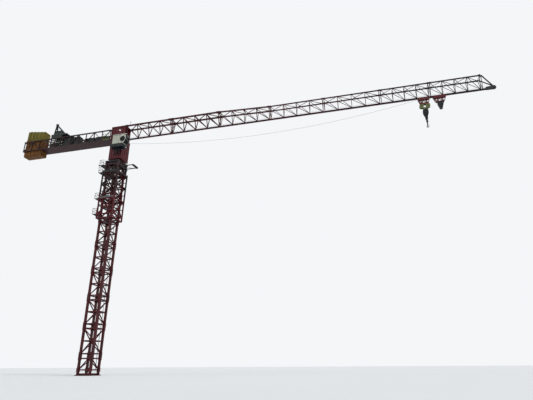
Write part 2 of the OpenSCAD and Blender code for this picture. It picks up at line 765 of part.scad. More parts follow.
// section of the bottom chord, an I-beam on whose lower flange the trolleys run
module chord_profile() {
    w = flange_w / 2;
    h = bottom_chord_h / 2;
    t = flange_t;
    polygon([[-w, -h], [w, -h], [w, -h + t], [t / 2, -h + t], [t / 2, h - t], [w, h - t], [w, h],
             [-w, h], [-w, h - t], [-t / 2, h - t], [-t / 2, -h + t], [-w, -h + t]]);
}

module bottom_chord(x0, x1) {
    translate([x0, 0, jib_z]) rotate([90, 0, 90]) linear_extrude(height = x1 - x0) chord_profile();
}

function top_point(x, side) = [x, side * half_spread_at(x), jib_z + depth_at(x)];
function low_point(x) = [x, 0, jib_z + bottom_chord_h / 2 - flange_t];

// how far each section's steel stands above the tip's, as shares of the difference
brace_shares = [1, 1, 0.45, 0.15, 0.15, 0, 0];
chord_shares = [1, 1, 0.5, 0, 0, 0, 0];

// wind gauge on a short pole on the near top chord
module wind_gauge(x) {
    foot = top_point(x, -1);
    h = root_depth * 0.3;
    tube(foot, foot + [0, 0, h], rail_w, rope_sides);
    for (turn = [0 : 120 : 240])
        translate(foot + [0, 0, h]) rotate([0, 0, turn]) {
            tube([0, 0, 0], [rail_w * 2, 0, 0], rail_w / 2, rope_sides);
            translate([rail_w * 2, 0, -rail_w / 2]) cylinder(d = rail_w * 1.5, h = rail_w);
        }
}

// one section: bottom chord, top chords, posts, diagonals, top lacing and pinned joints
module jib_frame(x0, x1, top_chord_w, jib_brace_d) {
    step = (x1 - x0 - 2 * end_inset) / bays;
    stations = [for (i = [0 : bays]) x0 + end_inset + i * step];
    bottom_chord(x0, x1);
    for (side = [-1, 1]) {
        bar(top_point(x0, side), top_point(x1, side), top_chord_w);
        for (i = [0 : bays])
            tube(top_point(stations[i], side), low_point(stations[i]), jib_brace_d);
        for (i = [0 : bays - 1])
            tube(top_point(stations[i], side), low_point(stations[i + 1]), jib_brace_d);
        // pinned joints between sections
        for (x = [x0, x1 - 2 * top_chord_w])
            translate(top_point(x, side) - [0, top_chord_w * 0.65, top_chord_w * 0.65])
                cube([2 * top_chord_w, top_chord_w * 1.3, top_chord_w * 1.3]);
    }
    for (i = [0 : bays]) tube(top_point(stations[i], -1), top_point(stations[i], 1), jib_brace_d);
    for (i = [0 : bays - 1])
        let (side = i % 2 == 0 ? 1 : -1)
            tube(top_point(stations[i], side), top_point(stations[i + 1], -side), jib_brace_d);
}

module jib_section(i) color("maroon") {
    x0 = jib_start(i - 1);
    x1 = jib_start(i);
    chord_w = top_chord_w + (root_chord_w - top_chord_w) * chord_shares[i - 1];
    brace_d = jib_brace_d + (root_brace_d - jib_brace_d) * brace_shares[i - 1];
    intersection() {
        jib_frame(x0, x1, chord_w, brace_d);
        block([x0, -root_spread, chord_low - cut], [x1, root_spread, jib_z + root_depth * 1.2]);
    }
    if (i == 1) wind_gauge(x0 + root_depth * 0.36);
}

// nose with the sheave over which the trolley's rope returns
module jib_nose() color("maroon") {
    end = jib_tip + nose_length;
    wheel_x = end - sheave_d * 0.3;
    wheel_z = jib_z + sheave_d * 0.1;
    start = jib_tip + end_inset * 0.6;
    d = sheave_d;
    intersection() {
        union() {
            bottom_chord(jib_tip, wheel_x - d * 0.65);
            for (side = [-1, 1]) {
                tube(top_point(start, side), low_point(jib_tip + end_inset), jib_brace_d);
                bar(top_point(start, side), [wheel_x - d * 0.1, 0, wheel_z + d * 0.68],
                    top_chord_w * 0.8);
            }
            tube(top_point(start, -1), top_point(start, 1), jib_brace_d);
        }
        block([jib_tip, -root_spread, chord_low - cut], [end, root_spread, jib_z + root_depth * 1.2]);
    }
    for (side = [-1, 1])
        translate([0, side * flange_w / 2 + plate_t / 2, 0]) rotate([90, 0, 0])
            linear_extrude(height = plate_t)
                polygon([[wheel_x - d * 2.3, chord_low - plate_t / 4],
                         [wheel_x + d * 0.2, chord_low - d * 0.1],
                         [wheel_x + d * 0.62, wheel_z - d * 0.2], [wheel_x + d * 0.62, wheel_z + d * 0.25],
                         [wheel_x + d * 0.3, wheel_z + d * 0.75], [wheel_x - d * 0.4, wheel_z + d * 0.75],
                         [wheel_x - d * 2.3, wheel_z + d * 0.5]]);
    sheave(wheel_x, wheel_z, d, plate_t * 1.5);
    cross_pin(wheel_x, 0, wheel_z, rail_w * 2, flange_w + 2 * plate_t);
}

counter_end = -counter_length;
counter_root = -head_rear;
counter_bays = 11;

module counter_truss(side) color("brown") {
    y = side * (counter_w - counter_chord_w) / 2;
    low = counter_z + counter_chord_w / 2;
    high = counter_top - counter_chord_w / 2;
    for (z = [low, high])
        block([counter_end, y - counter_chord_w / 2, z - counter_chord_w / 2],
              [counter_root, y + counter_chord_w / 2, z + counter_chord_w / 2]);
    step = (counter_root - counter_end - counter_chord_w) / counter_bays;
    for (i = [0 : counter_bays]) {
        x = counter_end + counter_chord_w / 2 + i * step;
        bar([x, y, low], [x, y, high], counter_brace_w);
        if (i < counter_bays)
            bar([x, y, i % 2 == 0 ? low : high], [x + step, y, i % 2 == 0 ? high : low],
                counter_brace_w * 0.85);
    }
}

module counter_trusses()
    for (side = [-1, 1]) counter_truss(side);

// deck between the trusses, open where the counterweights hang through
weights_x0 = counter_end + counter_chord_w + weight_gap / 3;
// height of each slab from the end inwards, as shares of the tallest
slab_shares = [1, 0.98, 0.96, 0.94, 0.92];
weight_count = len(slab_shares);
weights_x1 = weights_x0 + weight_count * (weight_t + weight_gap);

module counter_deck() color("saddlebrown") {
    in = counter_w / 2 - counter_chord_w;
    out = counter_w / 2 + side_landing_w;
    edge = rail_w / 2;
    block([weights_x1 + weight_gap, -in, counter_z], [counter_root, in, counter_z + deck_t]);
    for (x = [weights_x1 + weight_gap, counter_root - counter_chord_w])
        block([x, -in, counter_z], [x + counter_chord_w, in, counter_z + counter_chord_w * 1.3]);
    block([counter_root - counter_chord_w, -in, counter_top - counter_chord_w],
          [counter_root, in, counter_top]);
    block([counter_end, -in, counter_z], [counter_end + counter_chord_w, in,
                                          counter_z + counter_chord_w]);
    block([counter_end, -in, counter_top - counter_chord_w],
          [counter_end + counter_chord_w, in, counter_top]);
    // landing outside the near truss, above the cab's door
    x0 = counter_root - side_landing_l;
    block([x0, -out, counter_z], [counter_root, -counter_w / 2, counter_z + deck_t]);
    handrail([[x0 + edge, -counter_w / 2 - edge], [x0 + edge, -out + edge],
              [(x0 + counter_root) / 2, -out + edge], [counter_root - edge, -out + edge]],
             counter_z + deck_t);
}

// one cast slab seen along the counter-jib, with cut corners and two lifting holes
module slab_outline(h) {
    half = weight_w / 2;
    bevel = weight_t / 4;
    difference() {
        polygon([[-half + bevel, 0], [half - bevel, 0], [half, bevel], [half, h - bevel],
                 [half - bevel, h], [-half + bevel, h], [-half, h - bevel], [-half, bevel]]);
        for (side = [-1, 1])
            translate([side * weight_w / 4, h - bevel * 1.6]) circle(d = bevel);
    }
}

module counterweights() color("goldenrod") {
    low = counter_z - weight_h * 0.18;
    for (i = [0 : weight_count - 1])
        let (x = weights_x0 + i * (weight_t + weight_gap)) {
            translate([x, 0, low]) rotate([90, 0, 90]) linear_extrude(height = weight_t)
                slab_outline(weight_h * slab_shares[i]);
            block([x + weight_t * 0.3, -counter_w / 2, counter_top],
                  [x + weight_t * 0.7, counter_w / 2, counter_top + counter_chord_w * 1.5]);
        }
}

winch_x = counter_end + winch_from_end;
winch_floor = counter_z + deck_t;
roof_z = winch_floor + roof_h;
roof_x0 = winch_x - drum_d * 0.64;
roof_x1 = roof_x0 + roof_l;
roof_front = winch_x + cabinet_ahead - cabinet_gap / 2;
roof_side = counter_w / 2 - counter_chord_w * 1.5;

// slotted guard plate between the posts of the winch's frame
module winch_guard(y, low, high, post) {
    pitch = (high - low) / 8;
    sheet = plate_t / 2;
    difference() {
        block([roof_x0 + post / 2, y - sheet / 2, low], [roof_front - post / 2, y + sheet / 2, high]);
        for (k = [1 : 6])
            block([roof_x0 + post * 2, y - sheet / 2 - cut, low + k * pitch],
                  [roof_front - post * 2, y + sheet / 2 + cut, low + (k + 0.35) * pitch]);
    }
}

// drum with its motor and gearbox under a roof on four posts
module hoist_winch() color("darkgreen") {
    z = winch_floor + drum_d * 0.75;
    motor_x = winch_x + drum_d * 1.1;
    post = counter_brace_w;
    pad((winch_x + motor_x) / 2, 0, winch_floor, drum_d * 2.2, counter_w * 0.66, plate_t);
    cross_pin(winch_x, 0, z, drum_d, counter_w * 0.5);
    cross_pin(winch_x, 0, z, drum_d / 4, counter_w * 0.64);
    for (sy = [-1, 1]) {
        cross_pin(winch_x, sy * counter_w * 0.25, z, drum_d * 1.35, plate_t);
        translate([winch_x, sy * counter_w * 0.3 + plate_t, 0]) rotate([90, 0, 0])
            linear_extrude(height = plate_t * 2)
                polygon([[-drum_d * 0.4, winch_floor], [drum_d * 0.4, winch_floor],
                         [drum_d * 0.2, z + drum_d * 0.25], [-drum_d * 0.2, z + drum_d * 0.25]]);
    }
    // motor beside the drum, and the gearbox that joins their shafts
    cross_pin(motor_x, -counter_w * 0.05, z, drum_d * 0.6, counter_w * 0.42);
    cross_pin(motor_x, 0, z, drum_d / 5, counter_w * 0.6);
    pad(motor_x, -counter_w * 0.05, winch_floor, drum_d * 0.5, counter_w * 0.3, drum_d * 0.6);
    translate([0, counter_w * 0.32, 0]) rotate([90, 0, 0]) linear_extrude(height = plate_t * 3)
        polygon([[winch_x - drum_d * 0.3, z - drum_d * 0.3], [motor_x + drum_d * 0.3, z - drum_d * 0.3],
                 [motor_x + drum_d * 0.3, z + drum_d * 0.2], [motor_x, z + drum_d * 0.4],
                 [winch_x - drum_d * 0.1, z + drum_d * 0.4], [winch_x - drum_d * 0.3, z + drum_d * 0.2]]);
    // frame and roof
    for (sy = [-1, 1]) {
        y = sy * (roof_side - post / 2);
        for (x = [roof_x0 + post / 2, roof_front - post / 2])
            pad(x, y, winch_floor, post, post, roof_h);
        bar([roof_x0 + post / 2, y, winch_floor + post], [roof_front - post / 2, y, roof_z - post],
            post * 0.7);
        block([roof_x0, y - post / 2, roof_z - post], [roof_x1, y + post / 2, roof_z]);
        winch_guard(y - post / 5, winch_floor + post * 1.5, roof_z - post / 2, post);
    }
    for (x = [roof_x0, roof_front - post])
        block([x, -roof_side + post, roof_z - post], [x + post, roof_side - post, roof_z]);
    block([roof_x0, -roof_side, roof_z], [roof_x1, roof_side, roof_z + plate_t]);
}

// sheet-metal cabinet on a plinth, with a door on its near side, louvres and a roof with eaves
module cabinet(x, l, y0, y1, h) {
    sheet = plate_t / 2;
    floor_z = counter_z + deck_t;
    louvre = h * 0.06;
    block([x + sheet, y0 + sheet, floor_z], [x + l - sheet, y1 - sheet, floor_z + sheet]);
    difference() {
        block([x, y0, floor_z + sheet], [x + l, y1, floor_z + h - sheet]);
        for (k = [0 : 4])
            block([x + l * 0.15, y0 - cut, floor_z + h * 0.55 + k * louvre],
                  [x + l * 0.4, y0 + sheet, floor_z + h * 0.55 + (k + 0.5) * louvre]);
    }
    block([x + l * 0.5, y0 - sheet / 2, floor_z + h * 0.1], [x + l * 0.9, y0 + sheet, floor_z + h * 0.9]);
    block([x - sheet, y0 - sheet, floor_z + h - sheet], [x + l + sheet, y1 + sheet, floor_z + h]);
}

module control_cabinets() color("lightgray") {
    side = counter_w / 2 - counter_chord_w * 1.5;
    tall_x = winch_x + cabinet_ahead;
    resistor_x = tall_x + tall_cabinet_l + cabinet_gap / 2;
    low_x = resistor_x + resistor_l + cabinet_gap * 2;
    cabinet(tall_x, tall_cabinet_l, -side, side * 0.2, counter_h * 0.97);
    cabinet(resistor_x, resistor_l, -side, side * 0.3, counter_h * 0.84);
    // low cabinets fill the run that is left up to the tower head
    pitch = low_cabinet_l + cabinet_gap / 2;
    for (k = [1 : 1 : floor((counter_root - low_x) / pitch)])
        cabinet(low_x + (k - 1) * pitch, low_cabinet_l, -side, 0, counter_h * 0.5);
}

// narrow derrick on the winch's frame, which lifts the winch and the slabs
module derrick() color("darkslategray") {
    w = counter_brace_w * 1.4;
    rear = roof_x0 + w;
    front = rear + derrick_spread;
    foot_z = roof_z + plate_t;
    apex = roof_z + derrick_h;
    half = weight_w / 4;
    mid = foot_z + (apex - foot_z) * 0.4;
    for (x = [rear, front])
        block([x - w * 0.8, -roof_side, foot_z], [x + w * 0.8, roof_side, foot_z + plate_t * 2.5]);
    for (side = [-1, 1]) {
        for (x = [rear, front])
            bar([x, side * half, foot_z + plate_t / 2 + w / 2], [rear, side * w / 3, apex], w);
        bar([rear, side * (half - (half - w / 3) * 0.4), mid],
            [rear + derrick_spread * 0.6, side * (half - (half - w / 3) * 0.4), mid], w * 0.7);
    }
    bar([rear, -half, mid - w], [rear, half, mid - w], w * 0.7);
    // side plates of the derrick's own small drum
    drum_z = foot_z + plate_t + drum_d * 0.38;
    for (side = [-1, 1])
        translate([0, side * half * 0.82 + plate_t / 2, 0]) rotate([90, 0, 0])
            linear_extrude(height = plate_t)
                polygon([[rear, foot_z + plate_t / 2], [front, foot_z + plate_t / 2],
                         [front - derrick_spread * 0.35, foot_z + derrick_h * 0.34],
                         [rear, foot_z + derrick_h * 0.34]]);
    cross_pin(rear + derrick_spread * 0.38, 0, drum_z, drum_d * 0.55, half * 1.64);
    pad(rear, 0, apex - w, w * 2.5, rail_w * 6, w * 2);
}

trolley_side = flange_w / 2 + wheel_d / 2;

// side plates with wheels on the chord's lower flange, and a frame that narrows downwards
module trolley_frame(x, h, l, low_l) {
    flange_top = chord_low + flange_t;
    low = chord_low - h;
    lip = chord_low - wheel_d;
    deep = lip - h * 0.16;
    in = trolley_side - plate_t / 2;
    out = trolley_side + plate_t / 2;
    for (side = [-1, 1]) {
        translate([x, side * trolley_side + plate_t / 2, 0]) rotate([90, 0, 0])
            linear_extrude(height = plate_t)
                polygon([[-l / 2, lip], [-l * 0.42, deep], [l * 0.42, deep], [l / 2, lip],
                         [l / 2, flange_top + wheel_d / 2], [l * 0.4, flange_top + wheel_d],
                         [-l * 0.4, flange_top + wheel_d], [-l / 2, flange_top + wheel_d / 2]]);
        for (end = [-1, 1]) {
            cross_pin(x + end * l * 0.36, side * (in + flange_w * 0.35) / 2,
                      flange_top + wheel_d / 2 + run_gap, wheel_d, in - flange_w * 0.35 + run_gap);
            bar([x + end * (l - plate_t * 2) / 2, side * trolley_side, lip],
                [x + end * low_l / 2, side * trolley_side, low], plate_t * 1.7);
            bar([x, side * trolley_side, deep],
                [x + end * low_l / 2, side * trolley_side, low], plate_t * 1.5);
            bar([x + end * l * 0.3, side * trolley_side, deep],
                [x + end * low_l * 0.15, side * trolley_side, low], plate_t * 1.3);
        }
        bar([x - low_l / 2, side * trolley_side, low], [x + low_l / 2, side * trolley_side, low],
            plate_t * 2);
    }
    for (end = [-1, 1]) {
        block([x + end * l / 2 - (end + 1) * plate_t, -in, lip],
              [x + end * l / 2 - (end - 1) * plate_t, in, lip + plate_t]);
        bar([x + end * low_l / 2, -trolley_side, low], [x + end * low_l / 2, trolley_side, low],
            plate_t * 1.6);
        bar([x + end * (l + low_l) / 4, -trolley_side, (lip + low) / 2],
            [x + end * (l + low_l) / 4, trolley_side, (lip + low) / 2], plate_t * 1.4);
    }
}

module sheave(x, z, d, t) {
    difference() {
        cross_pin(x, 0, z, d, t);
        translate([x, 0, z]) rotate([90, 0, 0]) rotate_extrude()
            translate([d / 2, 0]) circle(d = rope_d * 1.2);
    }
}

sheave_z = chord_low - trolley_h - sheave_d * 1.05;
// the inner edges of the trolley's sheaves stand above the edges of the block's sheave
sheave_side = sheave_d;

module main_trolley() color("firebrick") {
    low_l = trolley_l * 0.66;
    low = chord_low - trolley_h;
    d = sheave_d;
    side_x = sheave_side + d * 0.6;
    trolley_frame(trolley_x, trolley_h, trolley_l, low_l);
    // side plates round the sheaves, open in the middle
    for (side = [-1, 1])
        translate([trolley_x, side * trolley_side + plate_t / 2, 0]) rotate([90, 0, 0])
            linear_extrude(height = plate_t)
                difference() {
                    polygon([[-low_l / 2, low], [low_l / 2, low], [side_x, sheave_z + d * 0.4],
                             [side_x, sheave_z - d * 0.45], [d * 0.9, sheave_z - d * 0.78],
                             [-d * 0.9, sheave_z - d * 0.78], [-side_x, sheave_z - d * 0.45],
                             [-side_x, sheave_z + d * 0.4]]);
                    translate([-d * 0.4, sheave_z - d * 0.45]) square([d * 0.8, d * 0.95]);
                }
    for (end = [-1, 1]) {
        sheave(trolley_x + end * sheave_side, sheave_z, d, plate_t * 1.5);
        cross_pin(trolley_x + end * sheave_side, 0, sheave_z, rail_w * 2, 2 * trolley_side);
    }
}

module second_trolley() color("firebrick") {
    trolley_frame(second_x, second_h, second_l, second_l * 0.6);
    // latch bar to the main trolley
    z = chord_low - wheel_d + plate_t * 0.2;
    block([trolley_x + trolley_l / 2, -plate_t, z],
          [second_x - second_l / 2 + plate_t, plate_t, z + plate_t * 0.6]);
}

// the second block, drawn up against its trolley
module spare_block() color("dimgray") {
    top = chord_low - second_h - plate_t;
    wide = second_l * 0.225;
    translate([second_x, block_t / 2, 0]) rotate([90, 0, 0]) linear_extrude(height = block_t)
        polygon([[-wide, top], [wide, top], [wide, top - spare_h * 0.3],
                 [wide * 0.4, top - spare_h], [-wide * 0.4, top - spare_h],
                 [-wide, top - spare_h * 0.3]]);
}

// hoist rope from the turntable to the main trolley, sagging under the jib in a parabola
rope_from = [turntable_front + plate_t + run_gap, 0, turntable_z + turntable_h * 0.87];
rope_to = [trolley_x - trolley_l / 2 - run_gap, 0, chord_low - wheel_d + plate_t / 2];
rope_rings = 60;
rope_sides = 8;
function rope_at(t) = rope_from + (rope_to - rope_from) * t - [0, 0, 4 * rope_sag * t * (1 - t)];

module hoist_rope() color("black") {
    ring = [for (k = [0 : rope_sides - 1])
            [0, cos(k * 360 / rope_sides), sin(k * 360 / rope_sides)] * rope_d / 2];
    points = [for (i = [0 : rope_rings], p = ring) rope_at(i / rope_rings) + p];
    last = rope_rings * rope_sides;
    walls = [for (i = [0 : rope_rings - 1], k = [0 : rope_sides - 1])
             let (a = i * rope_sides, n = (k + 1) % rope_sides)
             [a + k, a + rope_sides + k, a + rope_sides + n, a + n]];
    ends = [[for (k = [0 : rope_sides - 1]) k],
            [for (k = [rope_sides - 1 : -1 : 0]) last + k]];
    polyhedron(points = points, faces = concat(walls, ends), convexity = 4);
}

module rope_falls() color("black")
    for (end = [-1, 1])
        let (x = trolley_x + end * sheave_d / 2)
            tube([x, 0, block_top - block_h * 0.3], [x, 0, sheave_z], rope_d, rope_sides);

// two side plates round a sheave, with the swivel's housing below
module hook_block() color("dimgray") {
    mid = block_top - block_h * 0.3;
    base = block_top - block_h;
    for (side = [-1, 1])
        translate([trolley_x, side * block_t / 2 + (side > 0 ? 0 : plate_t), 0]) rotate([90, 0, 0])
            linear_extrude(height = plate_t)
                polygon([[-block_w / 2, block_top - block_h * 0.1], [-block_w * 0.35, block_top],
                         [block_w * 0.35, block_top], [block_w / 2, block_top - block_h * 0.1],
                         [block_w / 2, block_top - block_h * 0.4],
                         [block_w * 0.22, block_top - block_h * 0.8], [block_w * 0.22, base],
                         [-block_w * 0.22, base], [-block_w * 0.22, block_top - block_h * 0.8],
                         [-block_w / 2, block_top - block_h * 0.4]]);
    sheave(trolley_x, mid, sheave_d, plate_t * 2);
    cross_pin(trolley_x, 0, mid, shank_d, block_t);
    difference() {
        union() {
            pad(trolley_x, 0, base, block_w * 0.4, block_t, shank_d * 1.5);
            translate([trolley_x, 0, base - housing_l]) cylinder(d = block_w * 0.36, h = housing_l);
        }
        translate([trolley_x, 0, base - housing_l - cut])
            cylinder(d = shank_d + 2 * rod_gap, h = housing_l + shank_d * 1.5 + 2 * cut);
    }
}

// shank, nut, collar and bowl, cut from one thick plate with its tip drawn up
module hook() color("black") {
    base = block_top - block_h;
    ring = bowl_r + hook_t;
    collar_z = base - housing_l - run_gap - shank_d / 2;
    centre = collar_z - shank_d * 2.5 - ring;
    nut_z = base + shank_d * 1.5 + run_gap;
    translate([trolley_x, 0, 0]) rotate([0, 0, -45]) {
        translate([0, 0, centre + ring * 0.8]) cylinder(d = shank_d, h = nut_z - centre - ring * 0.8);
        translate([0, 0, nut_z]) cylinder(d = shank_d * 1.6, h = shank_d * 0.8);
        translate([0, 0, collar_z]) cylinder(d = shank_d * 1.5, h = shank_d / 2);
        translate([0, hook_t / 2, 0]) rotate([90, 0, 0]) linear_extrude(height = hook_t)
            difference() {
                union() {
                    translate([0, centre]) circle(ring);
                    polygon([[-shank_d * 0.7, centre + ring * 1.5], [shank_d * 0.7, centre + ring * 1.5],
                             [ring * 0.7, centre + ring * 0.6], [-ring * 0.9, centre + ring * 0.4]]);
                }
                translate([0, centre]) circle(bowl_r);
                translate([bowl_r * 0.2, centre + bowl_r * 0.1]) square([ring * 2, bowl_r * 1.1]);
            }
    }
}

base_frame();
mast_base();
for (i = [1 : section_count])
    mast_section(i);
mast_ladder();
climbing_crosshead();
cage_near_side();
cage_far_side();
cage_left_side();
cage_right_side();
cage_platforms();
climbing_jack();
cage_monorail();
slewing_support();
turntable();
tower_head();
cab_shell();
cab_glass();
cab_platform();
for (i = [1 : jib_count])
    jib_section(i);
jib_nose();
counter_trusses();
counter_deck();
hoist_winch();
control_cabinets();
counterweights();
derrick();
main_trolley();
second_trolley();
spare_block();
hoist_rope();
rope_falls();
hook_block();
hook();
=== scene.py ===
"""Looks of a flat-top tower crane at one tenth of full size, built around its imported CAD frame.

One metre here is ten metres of the real crane. X runs along the jib, Z is up, the cab hangs on the -Y side.
"""
from itertools import product
import math

import bpy
from mathutils import Matrix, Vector
import numpy as np


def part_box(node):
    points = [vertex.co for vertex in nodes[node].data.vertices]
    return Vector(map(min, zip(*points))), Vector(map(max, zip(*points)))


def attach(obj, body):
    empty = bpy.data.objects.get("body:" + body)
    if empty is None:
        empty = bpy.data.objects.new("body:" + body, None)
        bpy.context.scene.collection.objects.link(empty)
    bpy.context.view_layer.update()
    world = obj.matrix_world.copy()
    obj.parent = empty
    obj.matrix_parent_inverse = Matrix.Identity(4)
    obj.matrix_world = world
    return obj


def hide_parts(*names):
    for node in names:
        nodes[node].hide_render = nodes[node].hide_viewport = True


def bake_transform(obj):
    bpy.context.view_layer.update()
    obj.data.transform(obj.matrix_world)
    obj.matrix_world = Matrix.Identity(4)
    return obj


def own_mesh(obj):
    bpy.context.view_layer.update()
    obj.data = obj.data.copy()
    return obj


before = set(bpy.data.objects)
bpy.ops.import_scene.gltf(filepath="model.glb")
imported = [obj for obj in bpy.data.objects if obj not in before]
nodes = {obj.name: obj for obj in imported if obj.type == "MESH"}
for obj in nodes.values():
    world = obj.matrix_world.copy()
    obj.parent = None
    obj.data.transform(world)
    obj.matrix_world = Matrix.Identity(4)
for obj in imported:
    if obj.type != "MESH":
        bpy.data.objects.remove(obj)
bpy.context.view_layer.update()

SIDES = (-1.0, 1.0)
TAU = 2.0 * math.pi
ALONG, ACROSS, UP = (1, 0, 0), (0, 1, 0), (0, 0, 1)

# camera and studio

camera_data = bpy.data.cameras.new("camera")
camera_data.sensor_fit = "HORIZONTAL"
camera_data.sensor_width = 36.0
camera_data.lens = 28.724
camera_data.clip_end = 500.0
camera = bpy.data.objects.new("camera", camera_data)
camera_at = (4.7561, -6.6572, 0.1247)
heading, pitch, roll = math.radians(14.1802), math.radians(21.3986), math.radians(-0.3057)
turn = (Matrix.Rotation(heading, 4, "Z") @ Matrix.Rotation(math.radians(90.0) + pitch, 4, "X")
        @ Matrix.Rotation(roll, 4, "Z"))
camera.matrix_world = Matrix.Translation(camera_at) @ turn
bpy.context.scene.collection.objects.link(camera)
bpy.context.scene.camera = camera
bpy.context.scene.view_settings.view_transform = "Standard"


def linear(hex_colour):
    """Linear RGBA of an sRGB hex colour such as 'a1b2c3'."""
    parts = np.array([int(hex_colour[i:i + 2], 16) for i in (0, 2, 4)]) / 255.0
    low, high = parts / 12.92, ((parts + 0.055) / 1.055) ** 2.4
    return tuple(np.where(parts <= 0.04045, low, high)) + (1.0,)


def add(tree, kind, links=None, **settings):
    """Adds a node.

    A setting goes to the node or, by socket name, to its input. links maps inputs to outputs.
    """
    node = tree.nodes.new(kind)
    for name, value in settings.items():
        if hasattr(node, name):
            setattr(node, name, value)
        else:
            node.inputs[name.replace("_", " ")].default_value = value
    for socket, source in (links or {}).items():
        tree.links.new(source, node.inputs[socket])
    return node


def sun(name, energy, tilt, spread):
    """Sun lamp turned by tilt degrees about X, Y and Z, whose disc is spread degrees wide."""
    data = bpy.data.lights.new(name, "SUN")
    data.energy = energy
    data.angle = math.radians(spread)
    obj = bpy.data.objects.new(name, data)
    obj.location = (0.0, 0.0, 10.0)
    obj.rotation_euler = [math.radians(angle) for angle in tilt]
    bpy.context.scene.collection.objects.link(obj)


# soft daylight from high on the jib's side, so the faces along +X are the brighter ones
sun("key", 1.25, (38, 0, 62), 25)
sun("fill", 0.35, (62, 0, -20), 60)

world = bpy.data.worlds.new("studio")
bpy.context.scene.world = world
world.use_nodes = True
sky = world.node_tree
sky.nodes.clear()
rays = add(sky, "ShaderNodeLightPath")
seen = add(sky, "ShaderNodeMath", {0: rays.outputs["Is Camera Ray"], 1: rays.outputs["Is Glossy Ray"]},
           operation="MAXIMUM")
seen = add(sky, "ShaderNodeMath", {0: seen.outputs[0], 1: rays.outputs["Is Transmission Ray"]},
           operation="MAXIMUM")
lit = add(sky, "ShaderNodeBackground", Color=linear("eef1f4"), Strength=0.62)
shown = add(sky, "ShaderNodeBackground", Color=linear("f4f6f8"), Strength=1.0)
both_skies = add(sky, "ShaderNodeMixShader", {0: seen.outputs[0], 1: lit.outputs[0], 2: shown.outputs[0]})
add(sky, "ShaderNodeOutputWorld", {"Surface": both_skies.outputs[0]})


def material(name):
    made = bpy.data.materials.new(name)
    made.use_nodes = True
    made.node_tree.nodes.clear()
    return made, made.node_tree


def pale_floor():
    made, tree = material("pale_floor")
    where = add(tree, "ShaderNodeTexCoord")
    cloud = add(tree, "ShaderNodeTexNoise", {"Vector": where.outputs["Object"]}, Scale=0.4, Detail=2.0)
    tint = add(tree, "ShaderNodeMix", {0: cloud.outputs["Fac"]}, data_type="RGBA")
    tint.inputs[6].default_value, tint.inputs[7].default_value = linear("e6e8ea"), linear("eceef0")
    shader = add(tree, "ShaderNodeBsdfPrincipled", {"Base Color": tint.outputs[2]}, Roughness=0.9)
    add(tree, "ShaderNodeOutputMaterial", {"Surface": shader.outputs[0]})
    return made


def mesh_object(name, points, faces, smooth=False):
    """A mesh object at the origin from arrays of points and faces."""
    mesh = bpy.data.meshes.new(name)
    mesh.from_pydata([tuple(p) for p in np.asarray(points, float)], [], [tuple(map(int, f)) for f in faces])
    mesh.polygons.foreach_set("use_smooth", np.full(len(mesh.polygons), smooth))
    mesh.update()
    obj = bpy.data.objects.new(name, mesh)
    bpy.context.scene.collection.objects.link(obj)
    return obj


floor_reach = 260.0
floor = mesh_object("floor", [(-floor_reach, -floor_reach, 0), (floor_reach, -floor_reach, 0),
                              (floor_reach, floor_reach, 0), (-floor_reach, floor_reach, 0)], [(0, 1, 2, 3)])
floor.data.materials.append(pale_floor())

# finishes
# The model is at 1:10, so a pattern that is 500 mm on the real crane is 0.05 m here.


def limits(node, socket_a, value_a, socket_b, value_b):
    node.inputs[socket_a].default_value = value_a
    node.inputs[socket_b].default_value = value_b


